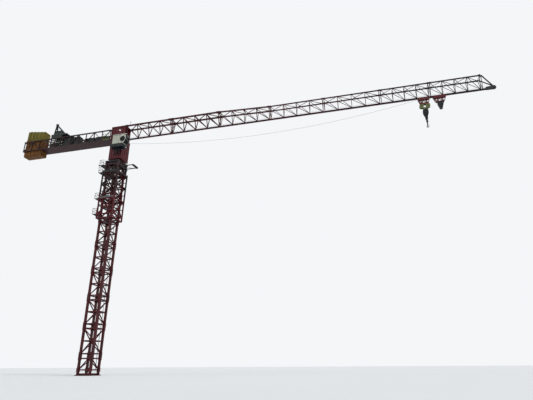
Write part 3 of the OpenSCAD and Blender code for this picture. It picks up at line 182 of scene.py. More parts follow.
def weathered(name, colours, coarse_mm, streak_mm, chip_mm, chips=0.6, rough=(0.42, 0.62), metal=0.0,
              bump=0.2, sheen=0.25, band=None):
    """Paint or metal that weathers outdoors: colours = (fresh, faded, grime, bared).

    Fresh and faded tones drift over coarse_mm. Grime runs down in streaks streak_mm wide, and the bared tone
    shows in chips of chip_mm where a fine noise rises over the level chips. band = (axis, from, to, colour)
    turns the paint towards another colour as that coordinate in metres goes from one value to the other.
    sheen is the strength of the mirror reflection, low where chalk and dust have dulled the paint.
    """
    fresh, faded, grime, bared = map(linear, colours)
    made, tree = material(name)
    where = add(tree, "ShaderNodeTexCoord").outputs["Object"]
    drift = add(tree, "ShaderNodeTexNoise", {"Vector": where}, Scale=1000.0 / coarse_mm, Detail=3.0,
                Roughness=0.55)
    tones = add(tree, "ShaderNodeValToRGB", {"Fac": drift.outputs["Fac"]})
    first, last = tones.color_ramp.elements
    first.position, first.color = 0.35, fresh
    last.position, last.color = 0.68, faded
    paint = tones.outputs[0]
    if band:
        axis, start, end, other = band
        split = add(tree, "ShaderNodeSeparateXYZ", {"Vector": where})
        far = add(tree, "ShaderNodeMapRange", {"Value": split.outputs[axis]}, interpolation_type="SMOOTHSTEP")
        limits(far, "From Min", start, "From Max", end)
        tinted = add(tree, "ShaderNodeMix", {0: far.outputs[0], 6: paint}, data_type="RGBA")
        tinted.inputs[7].default_value = linear(other)
        paint = tinted.outputs[2]
    runs = add(tree, "ShaderNodeMapping", {"Vector": where})
    runs.inputs["Scale"].default_value = (1000.0 / streak_mm, 1000.0 / streak_mm, 120.0 / streak_mm)
    streaks = add(tree, "ShaderNodeTexNoise", {"Vector": runs.outputs[0]}, Scale=1.0, Detail=4.0,
                  Roughness=0.6)
    dirty = add(tree, "ShaderNodeMapRange", {"Value": streaks.outputs["Fac"]})
    limits(dirty, "From Min", 0.50, "From Max", 0.78)
    soiled = add(tree, "ShaderNodeMix", {0: dirty.outputs[0], 6: paint}, data_type="RGBA")
    soiled.inputs[7].default_value = grime
    fine = add(tree, "ShaderNodeTexNoise", {"Vector": where}, Scale=1000.0 / chip_mm, Detail=5.0,
               Roughness=0.7)
    bare = add(tree, "ShaderNodeMapRange", {"Value": fine.outputs["Fac"]})
    limits(bare, "From Min", chips, "From Max", chips + 0.03)
    worn = add(tree, "ShaderNodeMix", {0: bare.outputs[0], 6: soiled.outputs[2]}, data_type="RGBA")
    worn.inputs[7].default_value = bared
    gloss = add(tree, "ShaderNodeMapRange", {"Value": streaks.outputs["Fac"]})
    limits(gloss, "To Min", rough[0], "To Max", rough[1])
    relief = add(tree, "ShaderNodeBump", {"Height": fine.outputs["Fac"]}, Strength=bump,
                 Distance=chip_mm / 8000.0)
    shader = add(tree, "ShaderNodeBsdfPrincipled",
                 {"Base Color": worn.outputs[2], "Roughness": gloss.outputs[0], "Normal": relief.outputs[0]},
                 Metallic=metal, Specular_IOR_Level=sheen)
    add(tree, "ShaderNodeOutputMaterial", {"Surface": shader.outputs[0]})
    return made


cage_low, cage_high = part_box("cage_near_side")
deck_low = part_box("counter_deck")[0]
weight_low, weight_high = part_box("counterweights")
trolley_low, trolley_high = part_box("main_trolley")

finishes = {
    # alkyd enamel sprayed on rolled steel angles: satin red that chalks, with rust at its chips
    "mast_steel": weathered("sprayed_red_enamel_mast", ("3f0a0f", "4b0f14", "1c080a", "391910"),
                            260, 30, 14, 0.66),
    "jib_steel": weathered("sprayed_red_enamel_jib", ("3a0a10", "470f16", "1c080b", "3a1b13"),
                           300, 34, 14, 0.66, band=(0, 3.6, 6.6, "200c14")),
    "counter_steel": weathered("sprayed_red_enamel_counter", ("260c0f", "301115", "14090a", "30190f"),
                               280, 32, 14, 0.66),
    # the cage's upper part is painted darker towards the slewing ring: painted shade under the turntable
    "cage_steel": weathered("sprayed_red_enamel_cage", ("4b0b12", "5a1119", "230a0d", "401c13"),
                            240, 26, 12, 0.65, band=(2, cage_low.z + 0.36, cage_low.z + 0.62, "210e11")),
    # the same enamel on plate
    "red_steel": weathered("sprayed_red_enamel_plate", ("4e0f18", "58131d", "320c12", "431f17"),
                           220, 40, 12, 0.68, rough=(0.36, 0.55)),
    # galvanised steel grating and angles: dull grey-green with spangle
    "platform_steel": weathered("galvanised_grating", ("22282b", "2d3437", "15181a", "3a3128"),
                                120, 20, 8, 0.70, rough=(0.5, 0.7), metal=0.2),
    # hot-dip galvanised tube and strip
    "galvanised": weathered("hot_dip_galvanised_steel", ("545a5d", "64696b", "383c3e", "54483b"),
                            60, 16, 6, 0.74, rough=(0.45, 0.62), metal=0.3),
    # chromed rod and painted barrel of the climbing jack
    "jack_steel": weathered("painted_jack_steel", ("8d9194", "9da1a3", "4b4c4d", "6c6f71"),
                            90, 18, 6, 0.72, rough=(0.25, 0.45), metal=0.6),
    # polyester powder coat on the cab's sheet steel
    "cab_paint": weathered("powder_coated_cab_sheet", ("a9ab9d", "b5b7a9", "7b7c6c", "6b5b49"),
                           160, 34, 5, 0.78, rough=(0.32, 0.5)),
    # hammered enamel on the winch's castings and motor
    "winch_green": weathered("hammered_green_enamel", ("121d19", "192721", "0c100f", "30251b"),
                             90, 18, 6, 0.70, rough=(0.3, 0.5)),
    # powder coat on the cabinets' sheet steel
    "cabinet_grey": weathered("powder_coated_cabinet_sheet", ("1b2122", "232a2b", "101415", "3a3228"),
                              120, 24, 5, 0.76),
    # cast slabs under thick enamel: olive yellow above, and a darker orange-brown low down that is painted
    # shade of the truss beside them
    "weight_yellow": weathered("brushed_yellow_enamel_on_castings", ("603b08", "6e440b", "2b1808", "42260f"),
                               120, 34, 16, 0.64, rough=(0.45, 0.68),
                               band=(2, weight_high.z - 0.30, weight_high.z - 0.24, "655a14")),
    # pins, nuts and forgings, oiled against rust
    "dark_steel": weathered("oiled_dark_steel", ("18191b", "222325", "0e0e0f", "38271a"),
                            60, 14, 6, 0.66, rough=(0.32, 0.55), metal=0.3),
    # greased steel wire, and the rubber of hoses, cables and seals
    "rope": weathered("greased_wire_rope", ("2a2a2b", "3a3937", "161616", "4a4038"),
                      20, 6, 3, 0.72, rough=(0.35, 0.5), metal=0.5),
    # tinted toughened glass, seen as dark from outside
    "dark_glass": weathered("tinted_cab_glass", ("05080a", "090c0f", "0d1012", "14181a"),
                            200, 40, 8, 0.82, rough=(0.05, 0.14), bump=0.02, sheen=0.12),
    # bright reflector behind the floodlight's clear front
    "flood_glass": weathered("floodlight_reflector", ("e9ebea", "f2f3f2", "b9bcbb", "c9c6bd"),
                             60, 20, 4, 0.82, rough=(0.08, 0.2), bump=0.02),
}

# nodes whose paint differs from the rest of their slot
own_finish = {
    # dark red on the plates and braces between the cage and the slewing ring, painted darker as painted shade
    # under the turntable
    "slewing_support": weathered("painted_shade_red_enamel_support", ("280d11", "341116", "160a0c", "301a13"),
                                 200, 22, 12, 0.66, rough=(0.34, 0.5)),
    # reddish walkway sheet with small pale scuffs, and the yellow-green landing beyond the near truss
    "counter_deck": weathered("painted_walkway_sheet", ("2c0a0c", "370e10", "170708", "54382f"),
                              160, 30, 9, 0.62, band=(1, -0.117, -0.121, "59612a")),
    # dark enamel on the nose, greenish beyond the last jib section
    "jib_nose": weathered("dark_nose_enamel", ("200d13", "2a1218", "12090c", "2c1812"),
                          200, 24, 12, 0.66, band=(0, 6.83, 6.88, "232b27")),
    # red upper frame, and a sheave frame in greenish yellow under it
    "main_trolley": weathered("two_tone_trolley_enamel", ("5f6a3c", "6d7546", "353a24", "4a3a24"),
                              120, 18, 8, 0.64,
                              band=(2, trolley_high.z - 0.165, trolley_high.z - 0.125, "561a1e")),
}
for name, node in nodes.items():
    for holder in node.material_slots:
        holder.material = own_finish.get(name) or finishes[holder.material.name.split(".")[0]]

# added pieces, each a surface worked out on a grid of parameters


def unit(vectors):
    vectors = np.asarray(vectors, float)
    return vectors / np.linalg.norm(vectors, axis=-1, keepdims=True)


def angles(count):
    """Evenly spaced angles round a full circle."""
    return np.arange(count) * TAU / count


def square_to(direction):
    """Unit vector along direction, and two more at right angles to it and to each other."""
    d = unit(direction)
    a = unit(np.cross(d, UP if abs(d[2]) < 0.9 else ALONG))
    return d, a, np.cross(d, a)


def skin(grid, around=True, ends=True, loop=False):
    """Points and faces of a grid of points, one quad per cell.

    around closes the columns on themselves, loop closes the rows, ends puts a face over the first and last
    row.
    """
    rows, columns = grid.shape[:2]
    index = np.arange(rows * columns).reshape(rows, columns)
    rim = [index[0, ::-1].tolist(), index[-1].tolist()] if ends and not loop else []
    if loop:
        index = np.vstack([index, index[:1]])
    ahead = np.roll(index, -1, axis=1)
    if not around:
        index, ahead = index[:, :-1], ahead[:, :-1]
    cells = np.stack([index[:-1], ahead[:-1], ahead[1:], index[1:]], axis=-1)
    return grid.reshape(-1, 3), cells.reshape(-1, 4).tolist() + rim


def joined(name, parts, slot, body, *replaced, smooth=False):
    """One object from several surfaces, with its finish, its body and the nodes it stands for."""
    points, faces, start = [], [], 0
    for part_points, part_faces in parts:
        points.append(part_points)
        faces += [[corner + start for corner in face] for face in part_faces]
        start += len(part_points)
    piece = mesh_object(name, np.concatenate(points), faces, smooth)
    piece.data.materials.append(finishes[slot])
    # the reflector is the one finish that no CAD node has
    if replaced:
        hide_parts(*replaced)
    if body:
        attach(piece, body)
    return piece


def turned(foot, direction, profile, sides=12):
    """A profile of (distance s, radius r) turned round the axis d.

    Point = foot + d*s + r*(a*cos t + b*sin t), with a and b square to d.
    """
    d, a, b = square_to(direction)
    t = angles(sides)
    s, r = np.asarray(profile, float).T
    grid = (np.asarray(foot, float) + s[:, None, None] * d
            + r[:, None, None] * (np.cos(t)[:, None] * a + np.sin(t)[:, None] * b))
    return skin(grid)


def carried(path, section, up=UP, loop=False):
    """A section carried along a path: point = path(s) + side(s)*x + top(s)*y for the section's (x, y).

    Here side = up x along and top = along x side. The section may differ from row to row, and loop closes
    the path on itself.
    """
    path = np.asarray(path, float)
    ahead = np.roll(path, -1, axis=0) - np.roll(path, 1, axis=0) if loop else np.gradient(path, axis=0)
    along = unit(ahead)
    side = unit(np.cross(np.asarray(up, float), along))
    top = np.cross(along, side)
    section = np.asarray(section, float)
    x, y = section[..., 0], section[..., 1]
    if section.ndim == 2:
        x, y = x[None], y[None]
    return skin(path[:, None] + side[:, None] * x[..., None] + top[:, None] * y[..., None], loop=loop)


def circle(radius, sides):
    t = angles(sides)
    return radius * np.stack([np.cos(t), np.sin(t)], axis=-1)


def curve(knots, count):
    """Smooth path through knots.

    Each span is a cubic whose end slopes are half the step between the neighbours.
    """
    knots = np.asarray(knots, float)
    slopes = np.gradient(knots, axis=0)
    t = np.linspace(0.0, len(knots) - 1.0, count)
    k = np.minimum(t.astype(int), len(knots) - 2)
    u = (t - k)[:, None]
    return ((2 * u ** 3 - 3 * u ** 2 + 1) * knots[k] + (u ** 3 - 2 * u ** 2 + u) * slopes[k]
            + (3 * u ** 2 - 2 * u ** 3) * knots[k + 1] + (u ** 3 - u ** 2) * slopes[k + 1])


def bent_bar(knots, radius, count=24, sides=8, up=UP):
    """Round bar or hose along a smooth path, its two ends drawn in to a dome."""
    path = curve(knots, count)
    swell = np.sqrt(1.0 - np.abs(np.linspace(-1.0, 1.0, count)) ** (2 * count) * 0.9)
    return carried(path, circle(radius, sides)[None] * swell[:, None, None], up)


def hoop(centre, across, radius, bar, count=24, sides=8):
    """Round bar bent to a full circle about the axis across."""
    d, a, b = square_to(across)
    t = angles(count)[:, None]
    path = np.asarray(centre, float) + radius * (np.cos(t) * a + np.sin(t) * b)
    return carried(path, circle(bar, sides), d, loop=True)


def nut(foot, direction, size):
    """Washer, bevelled hexagon and rounded stud end, each a turned profile; size is the stud's diameter."""
    return [turned(foot, direction, size * np.array([(0, 1.0), (0.12, 1.06), (0.2, 1.0)]), 14),
            turned(foot, direction, size * np.array([(0.2, 0.84), (0.3, 0.92), (0.85, 0.92), (1.0, 0.8)]), 6),
            turned(foot, direction, size * np.array([(1.0, 0.48), (1.25, 0.46), (1.36, 0.3)]), 8)]


def nuts(feet, direction, size):
    return [piece for foot in feet for piece in nut(foot, direction, size)]


def plate(outline, origin, u, v, thick, bevel):
    """Plate from an outline in the plane of u and v, carried along u x v, its edges drawn in by the bevel."""
    outline = np.asarray(outline, float)
    middle = outline.mean(axis=0)
    reach = np.abs(outline - middle).max()
    u, v = unit(u), unit(v)
    rows = []
    for depth, inset in ((0.0, bevel), (bevel, 0.0), (thick - bevel, 0.0), (thick, bevel)):
        flat = middle + (outline - middle) * (1.0 - inset / reach)
        rows.append(np.asarray(origin, float) + flat[:, :1] * u + flat[:, 1:] * v + depth * np.cross(u, v))
    return skin(np.array(rows))


def oblong(half_width, half_height):
    """Corners of a rectangle about its middle."""
    return [(-half_width, -half_height), (half_width, -half_height), (half_width, half_height),
            (-half_width, half_height)]


def laid_rope(path, radius, lay, sides=12):
    """Six-strand rope: at distance s and angle t its radius is R*(0.84 + 0.16*|cos(3*(t - 2*pi*s/lay))|)."""
    path = np.asarray(path, float)
    s = np.concatenate([[0.0], np.cumsum(np.linalg.norm(np.diff(path, axis=0), axis=1))])[:, None]
    t = angles(sides)
    r = radius * (0.84 + 0.16 * np.abs(np.cos(3.0 * (t - TAU * s / lay))))
    steep = abs(path[-1, 2] - path[0, 2]) > abs(path[-1, 0] - path[0, 0])
    return carried(path, np.stack([r * np.cos(t), r * np.sin(t)], axis=-1), ALONG if steep else UP)


def studded_sheet(x0, x1, y0, y1, z, pitch, rise):
    """Raised-pattern walkway sheet: height = z + rise*max(0, cos(2*pi*x/pitch)*cos(2*pi*y/pitch))."""
    x = np.linspace(x0, x1, max(3, int((x1 - x0) / pitch * 4)))[:, None]
    y = np.linspace(y0, y1, max(3, int((y1 - y0) / pitch * 4)))[None]
    lift = z + rise * np.maximum(0.0, np.cos(TAU * x / pitch) * np.cos(TAU * y / pitch))
    return skin(np.stack([x + 0 * y, y + 0 * x, lift], axis=-1), around=False, ends=False)


def headed_pin(centre, direction, half, size):
    """Pin through a joint: a collar and bevelled head at both ends, with a ring through one end."""
    d = unit(direction)
    profile = size * np.array([(-0.1, 0.8), (0.0, 0.8), (0.18, 0.78), (0.2, 0.5), (0.55, 0.5), (0.65, 0.38)])
    heads = [turned(np.asarray(centre) + sign * d * half, sign * d, profile, 12) for sign in SIDES]
    ring = hoop(np.asarray(centre) + d * (half + size * 0.4), np.cross(d, UP), size * 0.6, size * 0.09, 12, 5)
    return heads + [ring]


# mast: nuts of the post sleeves and feet, lugs for the climbing crosshead and the power cable

sleeve_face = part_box("mast_section_1")[1].x
post_half = 0.02125
post_at = sleeve_face - post_half
section_zs = [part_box(f"mast_section_{k}")[0].z for k in range(1, 8)]
section_zs.append(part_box("mast_section_7")[1].z)
sleeve_stud = 0.0034
sleeve_nuts = []
for z, sx, sy, shift, rise in product(section_zs, SIDES, SIDES, (-0.014, 0.014), (-0.032, 0.032)):
    if z + rise < cage_high.z:
        sleeve_nuts += nut((sx * sleeve_face, sy * post_at + shift, z + rise), (sx, 0, 0), sleeve_stud)
        sleeve_nuts += nut((sx * post_at + shift, sy * sleeve_face, z + rise), (0, sy, 0), sleeve_stud)
joined("mast_sleeve_nuts", sleeve_nuts, "dark_steel", "mast")

foot_plate_top, anchor_shift = 0.008, 0.026
anchors = [(sx * post_at + ux * anchor_shift, sy * post_at + uy * anchor_shift, foot_plate_top)
           for sx, sy, ux, uy in product(SIDES, SIDES, SIDES, SIDES)]
joined("anchor_nuts", nuts(anchors, UP, 0.0056), "galvanised", "mast")

lug_outline = [(0.0, 0.0), (0.011, 0.004), (0.011, 0.02), (0.008, 0.022), (0.0, 0.022)]
lug_above_joint, lug_width, lug_depth_in_post = 0.235, 0.024, 0.0045
lug_x = -sleeve_face + lug_depth_in_post
lugs = [plate(lug_outline, (lug_x, sy * post_at + lug_width / 2, z + lug_above_joint), (-1, 0, 0), UP,
              lug_width, 0.001)
        for z, sy in product(section_zs[:-1], SIDES)]
joined("climbing_lugs", lugs, "mast_steel", "mast")

cable_x, cable_y, cable_sway = 0.062, 0.094, 0.002
riser = [(cable_x + cable_sway * math.sin(9.0 * z), cable_y + cable_sway * math.cos(7.0 * z), z)
         for z in np.linspace(0.06, 3.6, 60)]
clamp = [(0, 0.0055), (0.001, 0.0062), (0.009, 0.0062), (0.01, 0.0055)]
clamps = [turned((cable_x, cable_y, z), UP, clamp, 10) for z in np.arange(0.30, 3.5, 0.24)]
joined("mast_power_cable", [bent_bar(riser, 0.0045, 180, 8, ALONG)] + clamps, "rope", "mast")

# cage: toe boards, raised-pattern decks, hoses of the jack and a work lamp

board = np.array([(0.0, 0.0125), (-0.0045, 0.0125), (-0.0045, 0.014), (0.0015, 0.014), (0.0015, -0.014),
                  (0.0, -0.014)]) * (-1, 1)
boards = []
for z, half, face in ((3.1355, 0.172, 0.1704), (3.687, 0.172, 0.1704), (3.898, 0.153, 0.1531)):
    for sy in SIDES:
        run = [np.linspace(sy * half, -sy * half, 30), np.full(30, sy * face), np.full(30, z)]
        boards.append(carried(np.stack(run, axis=-1), board))
joined("toe_boards", boards[:2], "galvanised", "cage")
joined("upper_toe_boards", boards[2:], "platform_steel", "cage")

decks = [studded_sheet(-0.259, -0.174, -0.170, 0.170, z + 0.0006, 0.009, 0.0012)
         for z in (2.81, 3.1215, 3.665, 3.8205)]
joined("deck_pattern", decks, "platform_steel", "cage")

jack_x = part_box("climbing_jack")[0].x + 0.015
hoses = [bent_bar([(jack_x - 0.010, sy * 0.006, z), (jack_x - 0.022, sy * 0.02, z + 0.02),
                   (jack_x - 0.012, sy * 0.06, z + 0.07), (-0.180, sy * 0.10, 3.22),
                   (-0.176, sy * 0.13, 3.30), (-0.1745, sy * 0.140, 3.40)], 0.0032, 60)
         for sy, z in ((-1.0, 3.05), (1.0, 3.34))]
joined("jack_hoses", hoses, "rope", "cage", smooth=True)

lamp_at = np.array((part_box("cage_platforms")[0].x + 0.004, -0.1685, 3.775))
lamp_shade = [(0, 0.004), (0.002, 0.009), (0.010, 0.0125), (0.020, 0.0145), (0.022, 0.0145), (0.022, 0.012)]
lamp_stem = [lamp_at, lamp_at + (0, 0, 0.02), lamp_at + (-0.006, 0, 0.036)]
work_lamp = [bent_bar(lamp_stem, 0.002, 16, 8, ALONG),
             turned(lamp_at + (0.004, 0, 0.046), (-1, -0.2, -0.5), lamp_shade, 20)]
joined("cage_work_lamp", work_lamp, "dark_steel", "cage")

# slewing ring: radius = root + height*min(1, max(0, 1.4*cos(teeth*t) + 0.5))
teeth, tooth_root, tooth_height = 92, 0.1106, 0.0035
t = angles(4 * teeth)
tooth = tooth_root + tooth_height * np.clip(1.4 * np.cos(teeth * t) + 0.5, 0.0, 1.0)
ring_rows = [np.stack([(tooth - inset) * np.cos(t), (tooth - inset) * np.sin(t), z + 0 * t], axis=-1)
             for z, inset in ((3.9115, 0.0008), (3.9125, 0.0), (3.9265, 0.0), (3.9275, 0.0008))]
joined("slewing_gear_ring", [skin(np.array(ring_rows))], "dark_steel", "cage")

ring_nut_circle, ring_nut_count = 0.126, 30
ring_nut_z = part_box("slewing_support")[1].z - 0.020
ring_feet = [(ring_nut_circle * math.cos(a), ring_nut_circle * math.sin(a), ring_nut_z)
             for a in angles(ring_nut_count)]
joined("slewing_ring_nuts", nuts(ring_feet, UP, 0.0032), "dark_steel", "cage")

# jib: pins and splices at the joints, trolley ropes, nose fittings, buffers and obstruction lamps

section_xs = [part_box(f"jib_section_{k}")[0].x for k in range(1, 8)]
jib_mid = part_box("jib_section_1")[0].z + 0.013
splice_plate, splice_thick, splice_face = oblong(0.03, 0.006), 0.0016, 0.0036
pins, splices = [], []
for k, x in enumerate(section_xs):
    # the first three sections are deeper and wider, and the chords get thinner outward
    top_z, spread = (jib_mid + 0.272, 0.088) if k < 3 else (jib_mid + 0.233, 0.077)
    chord = 0.026 if k < 2 else 0.022 if k == 2 else 0.018
    for sy in SIDES:
        for shift in (-chord, chord):
            pins += headed_pin((x + shift, sy * spread, top_z), (0, sy, 0), chord * 0.65, chord * 0.5)
        origin = (x, sy * 0.002 + (splice_thick if sy < 0 else 0.0), jib_mid)
        splices.append(plate(splice_plate, origin, (sy, 0, 0), UP, splice_thick, 0.0004))
        splices += nuts([(x + shift, sy * splice_face, jib_mid) for shift in (-0.022, -0.009, 0.009, 0.022)],
                        (0, sy, 0), 0.002)
joined("jib_joint_pins", pins, "dark_steel", "upper")
joined("bottom_chord_splices", splices, "jib_steel", "upper")

wheel_x, wheel_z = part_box("jib_nose")[1].x - 0.0335, jib_mid + 0.0054
for name, sy in (("trolley_rope_near", -1.0), ("trolley_rope_far", 1.0)):
    knots = [(0.17, sy * 0.020, jib_mid + 0.025)]
    knots += [(x, sy * 0.020, jib_mid + 0.024) for x in np.arange(0.6, 6.6, 0.5)]
    knots += [(6.78, sy * 0.018, jib_mid + 0.026), (6.90, sy * 0.008, wheel_z + 0.024),
              (wheel_x, sy * 0.006, wheel_z + 0.0275)]
    joined(name, [laid_rope(curve(knots, 700), 0.0014, 0.05, 8)], "rope", "upper")

axle_cap = [(0, 0.011), (0.0012, 0.012), (0.003, 0.012), (0.0032, 0.0075), (0.0055, 0.0075),
            (0.0065, 0.006)]
nose_nuts = ((-0.10, 0.004), (-0.08, 0.012), (-0.055, 0.004), (-0.03, 0.030), (0.02, 0.030))
axle = [turned((wheel_x, sy * 0.0178, wheel_z), (0, sy, 0), axle_cap, 20) for sy in SIDES]
for sy in SIDES:
    axle += nuts([(wheel_x + dx, sy * 0.018, wheel_z + dz) for dx, dz in nose_nuts], (0, sy, 0), 0.0026)
joined("nose_fittings", axle, "dark_steel", "upper")

# the outer pair stands just beyond the farthest place of the second trolley
buffer = [(0, 0.005), (0.002, 0.0058), (0.008, 0.0045), (0.012, 0.0058), (0.018, 0.0045), (0.022, 0.0056),
          (0.026, 0.003)]
buffers = [turned((x, sy * 0.0145, jib_mid - 0.004), (way, 0, 0), buffer, 14)
           for (x, way), sy in product(((0.215, 1.0), (6.8145, -1.0)), SIDES)]
joined("trolley_buffers", buffers, "rope", "upper", smooth=True)

lantern = [(0, 0.007), (0.002, 0.008), (0.006, 0.008), (0.007, 0.006), (0.010, 0.0066), (0.018, 0.0062),
           (0.022, 0.004), (0.0235, 0.001)]
lamp_places = ((6.79, -0.070, jib_mid + 0.243), (-0.03, 0.0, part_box("tower_head")[1].z))
joined("obstruction_lamps", [turned(place, UP, lantern, 18) for place in lamp_places], "red_steel", "upper",
       smooth=True)

# hoist rope and the falls, laid as six-strand rope in place of the plain ones

rope_radius, rope_lay = 0.0015, 0.045
rope_low, rope_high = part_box("hoist_rope")
rope_from = np.array((rope_low.x, 0.0, 4.3376))
rope_to = np.array((rope_high.x, 0.0, 4.395))
four_sags, inward_travel = 0.96, 5.32
t = np.linspace(0.0, 1.0, 1000)[:, None]
sagging = rope_from + (rope_to - rope_from) * t - np.array((0.0, 0.0, four_sags)) * t * (1.0 - t)
hoist_rope = joined("laid_hoist_rope", [laid_rope(sagging, rope_radius, rope_lay, 12)], "rope", "upper",
                    "hoist_rope")
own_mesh(hoist_rope)

falls_low, falls_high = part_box("rope_falls")
trolley_x = 0.5 * (falls_low.x + falls_high.x)
fall_shift = 0.5 * (falls_high.x - falls_low.x) - rope_radius
drops = np.linspace(falls_high.z, falls_low.z, 120)[:, None]
strands = [laid_rope(np.hstack([trolley_x + side * fall_shift + 0 * drops, 0 * drops, drops]), rope_radius,
                     rope_lay, 12) for side in SIDES]
falls = joined("laid_rope_falls", strands, "rope", None, "rope_falls")
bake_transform(falls)

# counterweights: lifting loops, tie rods through all slabs and raised panels on their sides

slab_pitch, slab_thick, slab_middle = 0.084, 0.075, 0.0375
slabs = [(weight_low.x + k * slab_pitch, weight_low.z + 0.62 * (1.0 - 0.02 * k)) for k in range(5)]
loop_shape = ((-0.016, -0.012), (-0.016, 0.004), (-0.008, 0.013), (0.008, 0.013), (0.016, 0.004),
              (0.016, -0.012))
loops = [bent_bar([(x + slab_middle, y + dy, top + dz) for dy, dz in loop_shape], 0.0026, 30, 8, ALONG)
         for (x, top), y in product(slabs, (-0.045, 0.045))]
joined("slab_lifting_loops", loops, "dark_steel", "upper", smooth=True)

tie_rod, tie_stud = [(0, 0.0026), (0.002, 0.003), (0.42, 0.003), (0.422, 0.0026)], 0.0048
last_slab_face = slabs[-1][0] + slab_thick
tie_z = weight_low.z + 0.055
ties = []
for y in (-0.060, 0.060):
    ties.append(turned((weight_low.x - 0.006, y, tie_z), ALONG, tie_rod, 10))
    ties += nut((weight_low.x, y, tie_z), (-1, 0, 0), tie_stud)
    ties += nut((last_slab_face, y, tie_z), ALONG, tie_stud)
joined("slab_tie_rods", ties, "dark_steel", "upper")

panels = [plate(oblong(0.030, 0.07), (x + slab_middle, sy * 0.0898, weight_low.z + z), (-sy, 0, 0), UP,
                0.0028, 0.002)
          for (x, _), sy, z in product(slabs, SIDES, (0.10, 0.33, 0.48))]
joined("slab_side_panels", panels, "weight_yellow", "upper")

# deck and hoist winch: walkway pattern, corrugated roof, coiled rope and the motor's fins

floor_z = deck_low.z + 0.006
walkway = studded_sheet(weight_high.x + 0.02, -0.172, -0.098, 0.098, floor_z + 0.0006, 0.012, 0.0014)
joined("walkway_pattern", [walkway], "counter_steel", "upper")

# roof height = top + 3.2 mm + 2.6 mm * sin(2*pi*x/pitch), with the sheet's two faces 0.8 mm apart
winch_low, winch_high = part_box("hoist_winch")
winch_x = weight_low.x - 0.023 + 0.70
roof_top = winch_high.z
roof_pitch, half_roof = 0.0152, 0.094
x = np.linspace(winch_low.x - 0.006, winch_high.x + 0.006, 260)
wave = roof_top + 0.0032 + 0.0026 * np.sin(TAU * x / roof_pitch)
sheet_rows = [np.stack([x, np.full_like(x, y), wave + dz], axis=-1)
              for y, dz in ((-half_roof, 0.0), (-half_roof, 0.0008), (half_roof, 0.0008), (half_roof, 0.0))]
joined("corrugated_winch_roof", [skin(np.stack(sheet_rows, axis=1))], "cab_paint", "upper")

# coil radius = drum + 1.5 mm * |cos(pi*y/pitch)|, one hump for each turn of rope
drum_z, turn_pitch = floor_z + 0.0825, 0.0032
coil = [(v, 0.0556 + 0.0015 * abs(math.cos(math.pi * v / turn_pitch)))
        for v in np.linspace(-0.056, 0.056, 169)]
joined("drum_rope_coil", [turned((winch_x, 0, drum_z), ACROSS, coil, 40)], "rope", "upper")

motor_x = winch_x + 0.121
fin = ((0, 0.0335), (0.0004, 0.0372), (0.0018, 0.0372), (0.0022, 0.0335))
fins = [(-0.062 + 0.004 * k + d, r) for k in range(21) for d, r in fin]
joined("motor_fins", [turned((motor_x, 0, drum_z), ACROSS, fins, 28)], "winch_green", "upper")

# cabinets: a handle, two hinges and two lifting eyes on each, and the cables along the deck

tall_x = winch_x + 0.23
face = -0.0915
handle = ((0.0, 0.45), (0.006, 0.47), (0.006, 0.58), (0.0, 0.6))
cabinet_hinge = [(0, 0.0016), (0.001, 0.0024), (0.0075, 0.0024), (0.008, 0.0018), (0.0085, 0.0024),
                 (0.015, 0.0024), (0.016, 0.0016)]
fittings = []
for x0, length, height in ((tall_x, 0.255, 0.228), (tall_x + 0.2875, 0.13, 0.1974),
                           (tall_x + 0.5475, 0.23, 0.1175), (tall_x + 0.81, 0.23, 0.1175)):
    handle_x = x0 + length * 0.5 + 0.012
    fittings.append(bent_bar([(handle_x, face - out, floor_z + height * share) for out, share in handle],
                             0.0014, 20, 8, ALONG))
    for share in (0.2, 0.8):
        foot = (x0 + length * 0.9 + 0.002, face, floor_z + height * share - 0.008)
        fittings.append(turned(foot, UP, cabinet_hinge, 10))
    for end in (0.012, length - 0.012):
        fittings.append(hoop((x0 + end, -0.075, floor_z + height + 0.005), ACROSS, 0.005, 0.0012, 16, 6))
joined("cabinet_fittings", fittings, "galvanised", "upper")

cables = []
for k, y in enumerate((0.040, 0.050, 0.060)):
    knots = [(winch_x + 0.20, y, 0.012), (tall_x + 0.1, y + 0.004, 0.008), (tall_x + 0.45, y - 0.003, 0.008),
             (tall_x + 0.9, y + 0.003, 0.008), (-0.30, y, 0.008), (-0.19, y, 0.014 + 0.004 * k)]
    cables.append(bent_bar(np.array(knots) + (0.0, 0.0, floor_z), 0.0034, 90, 8))
joined("counter_jib_cables", cables, "rope", "upper", smooth=True)

# derrick: rope on its small drum, the sheave at its apex and the rope between them

derrick_low, derrick_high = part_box("derrick")
apex_x = derrick_low.x + 0.0157
drum_x, hoist_z = apex_x + 0.268 * 0.38, roof_top + 0.0478
small_coil = [(-0.032 + 0.064 * k / 60, 0.0306 + 0.0009 * abs(math.sin(math.pi * k / 2.0)))
              for k in range(61)]
apex_sheave = [(0, 0.011), (0.001, 0.013), (0.003, 0.0105), (0.005, 0.0105), (0.007, 0.013), (0.008, 0.011)]
lift_rope = np.linspace((drum_x + 0.030, 0, hoist_z + 0.006),
                        (apex_x + 0.0235, 0, derrick_high.z - 0.014), 60)
gear = [turned((drum_x, 0, hoist_z), ACROSS, small_coil, 28),
        turned((apex_x + 0.012, -0.004, derrick_high.z - 0.016), ACROSS, apex_sheave, 20),
        laid_rope(lift_rope, 0.0012, 0.03, 8)]
for sy in SIDES:
    gear += nuts([(drum_x + dx, sy * 0.0399, roof_top + 0.012) for dx in (-0.085, -0.05, 0.03, 0.09)],
                 (0, sy, 0), 0.0026)
joined("derrick_fittings", gear, "dark_steel", "upper")

# tower head and turntable

head_low, head_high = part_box("tower_head")
pin_inset = 0.013
head_pins = [piece for z, x in product((head_high.z - pin_inset, head_low.z + pin_inset), (0.147, -0.137))
             for piece in headed_pin((x, 0, z), ACROSS, 0.1012, 0.011)]
joined("head_pins", head_pins, "dark_steel", "upper")

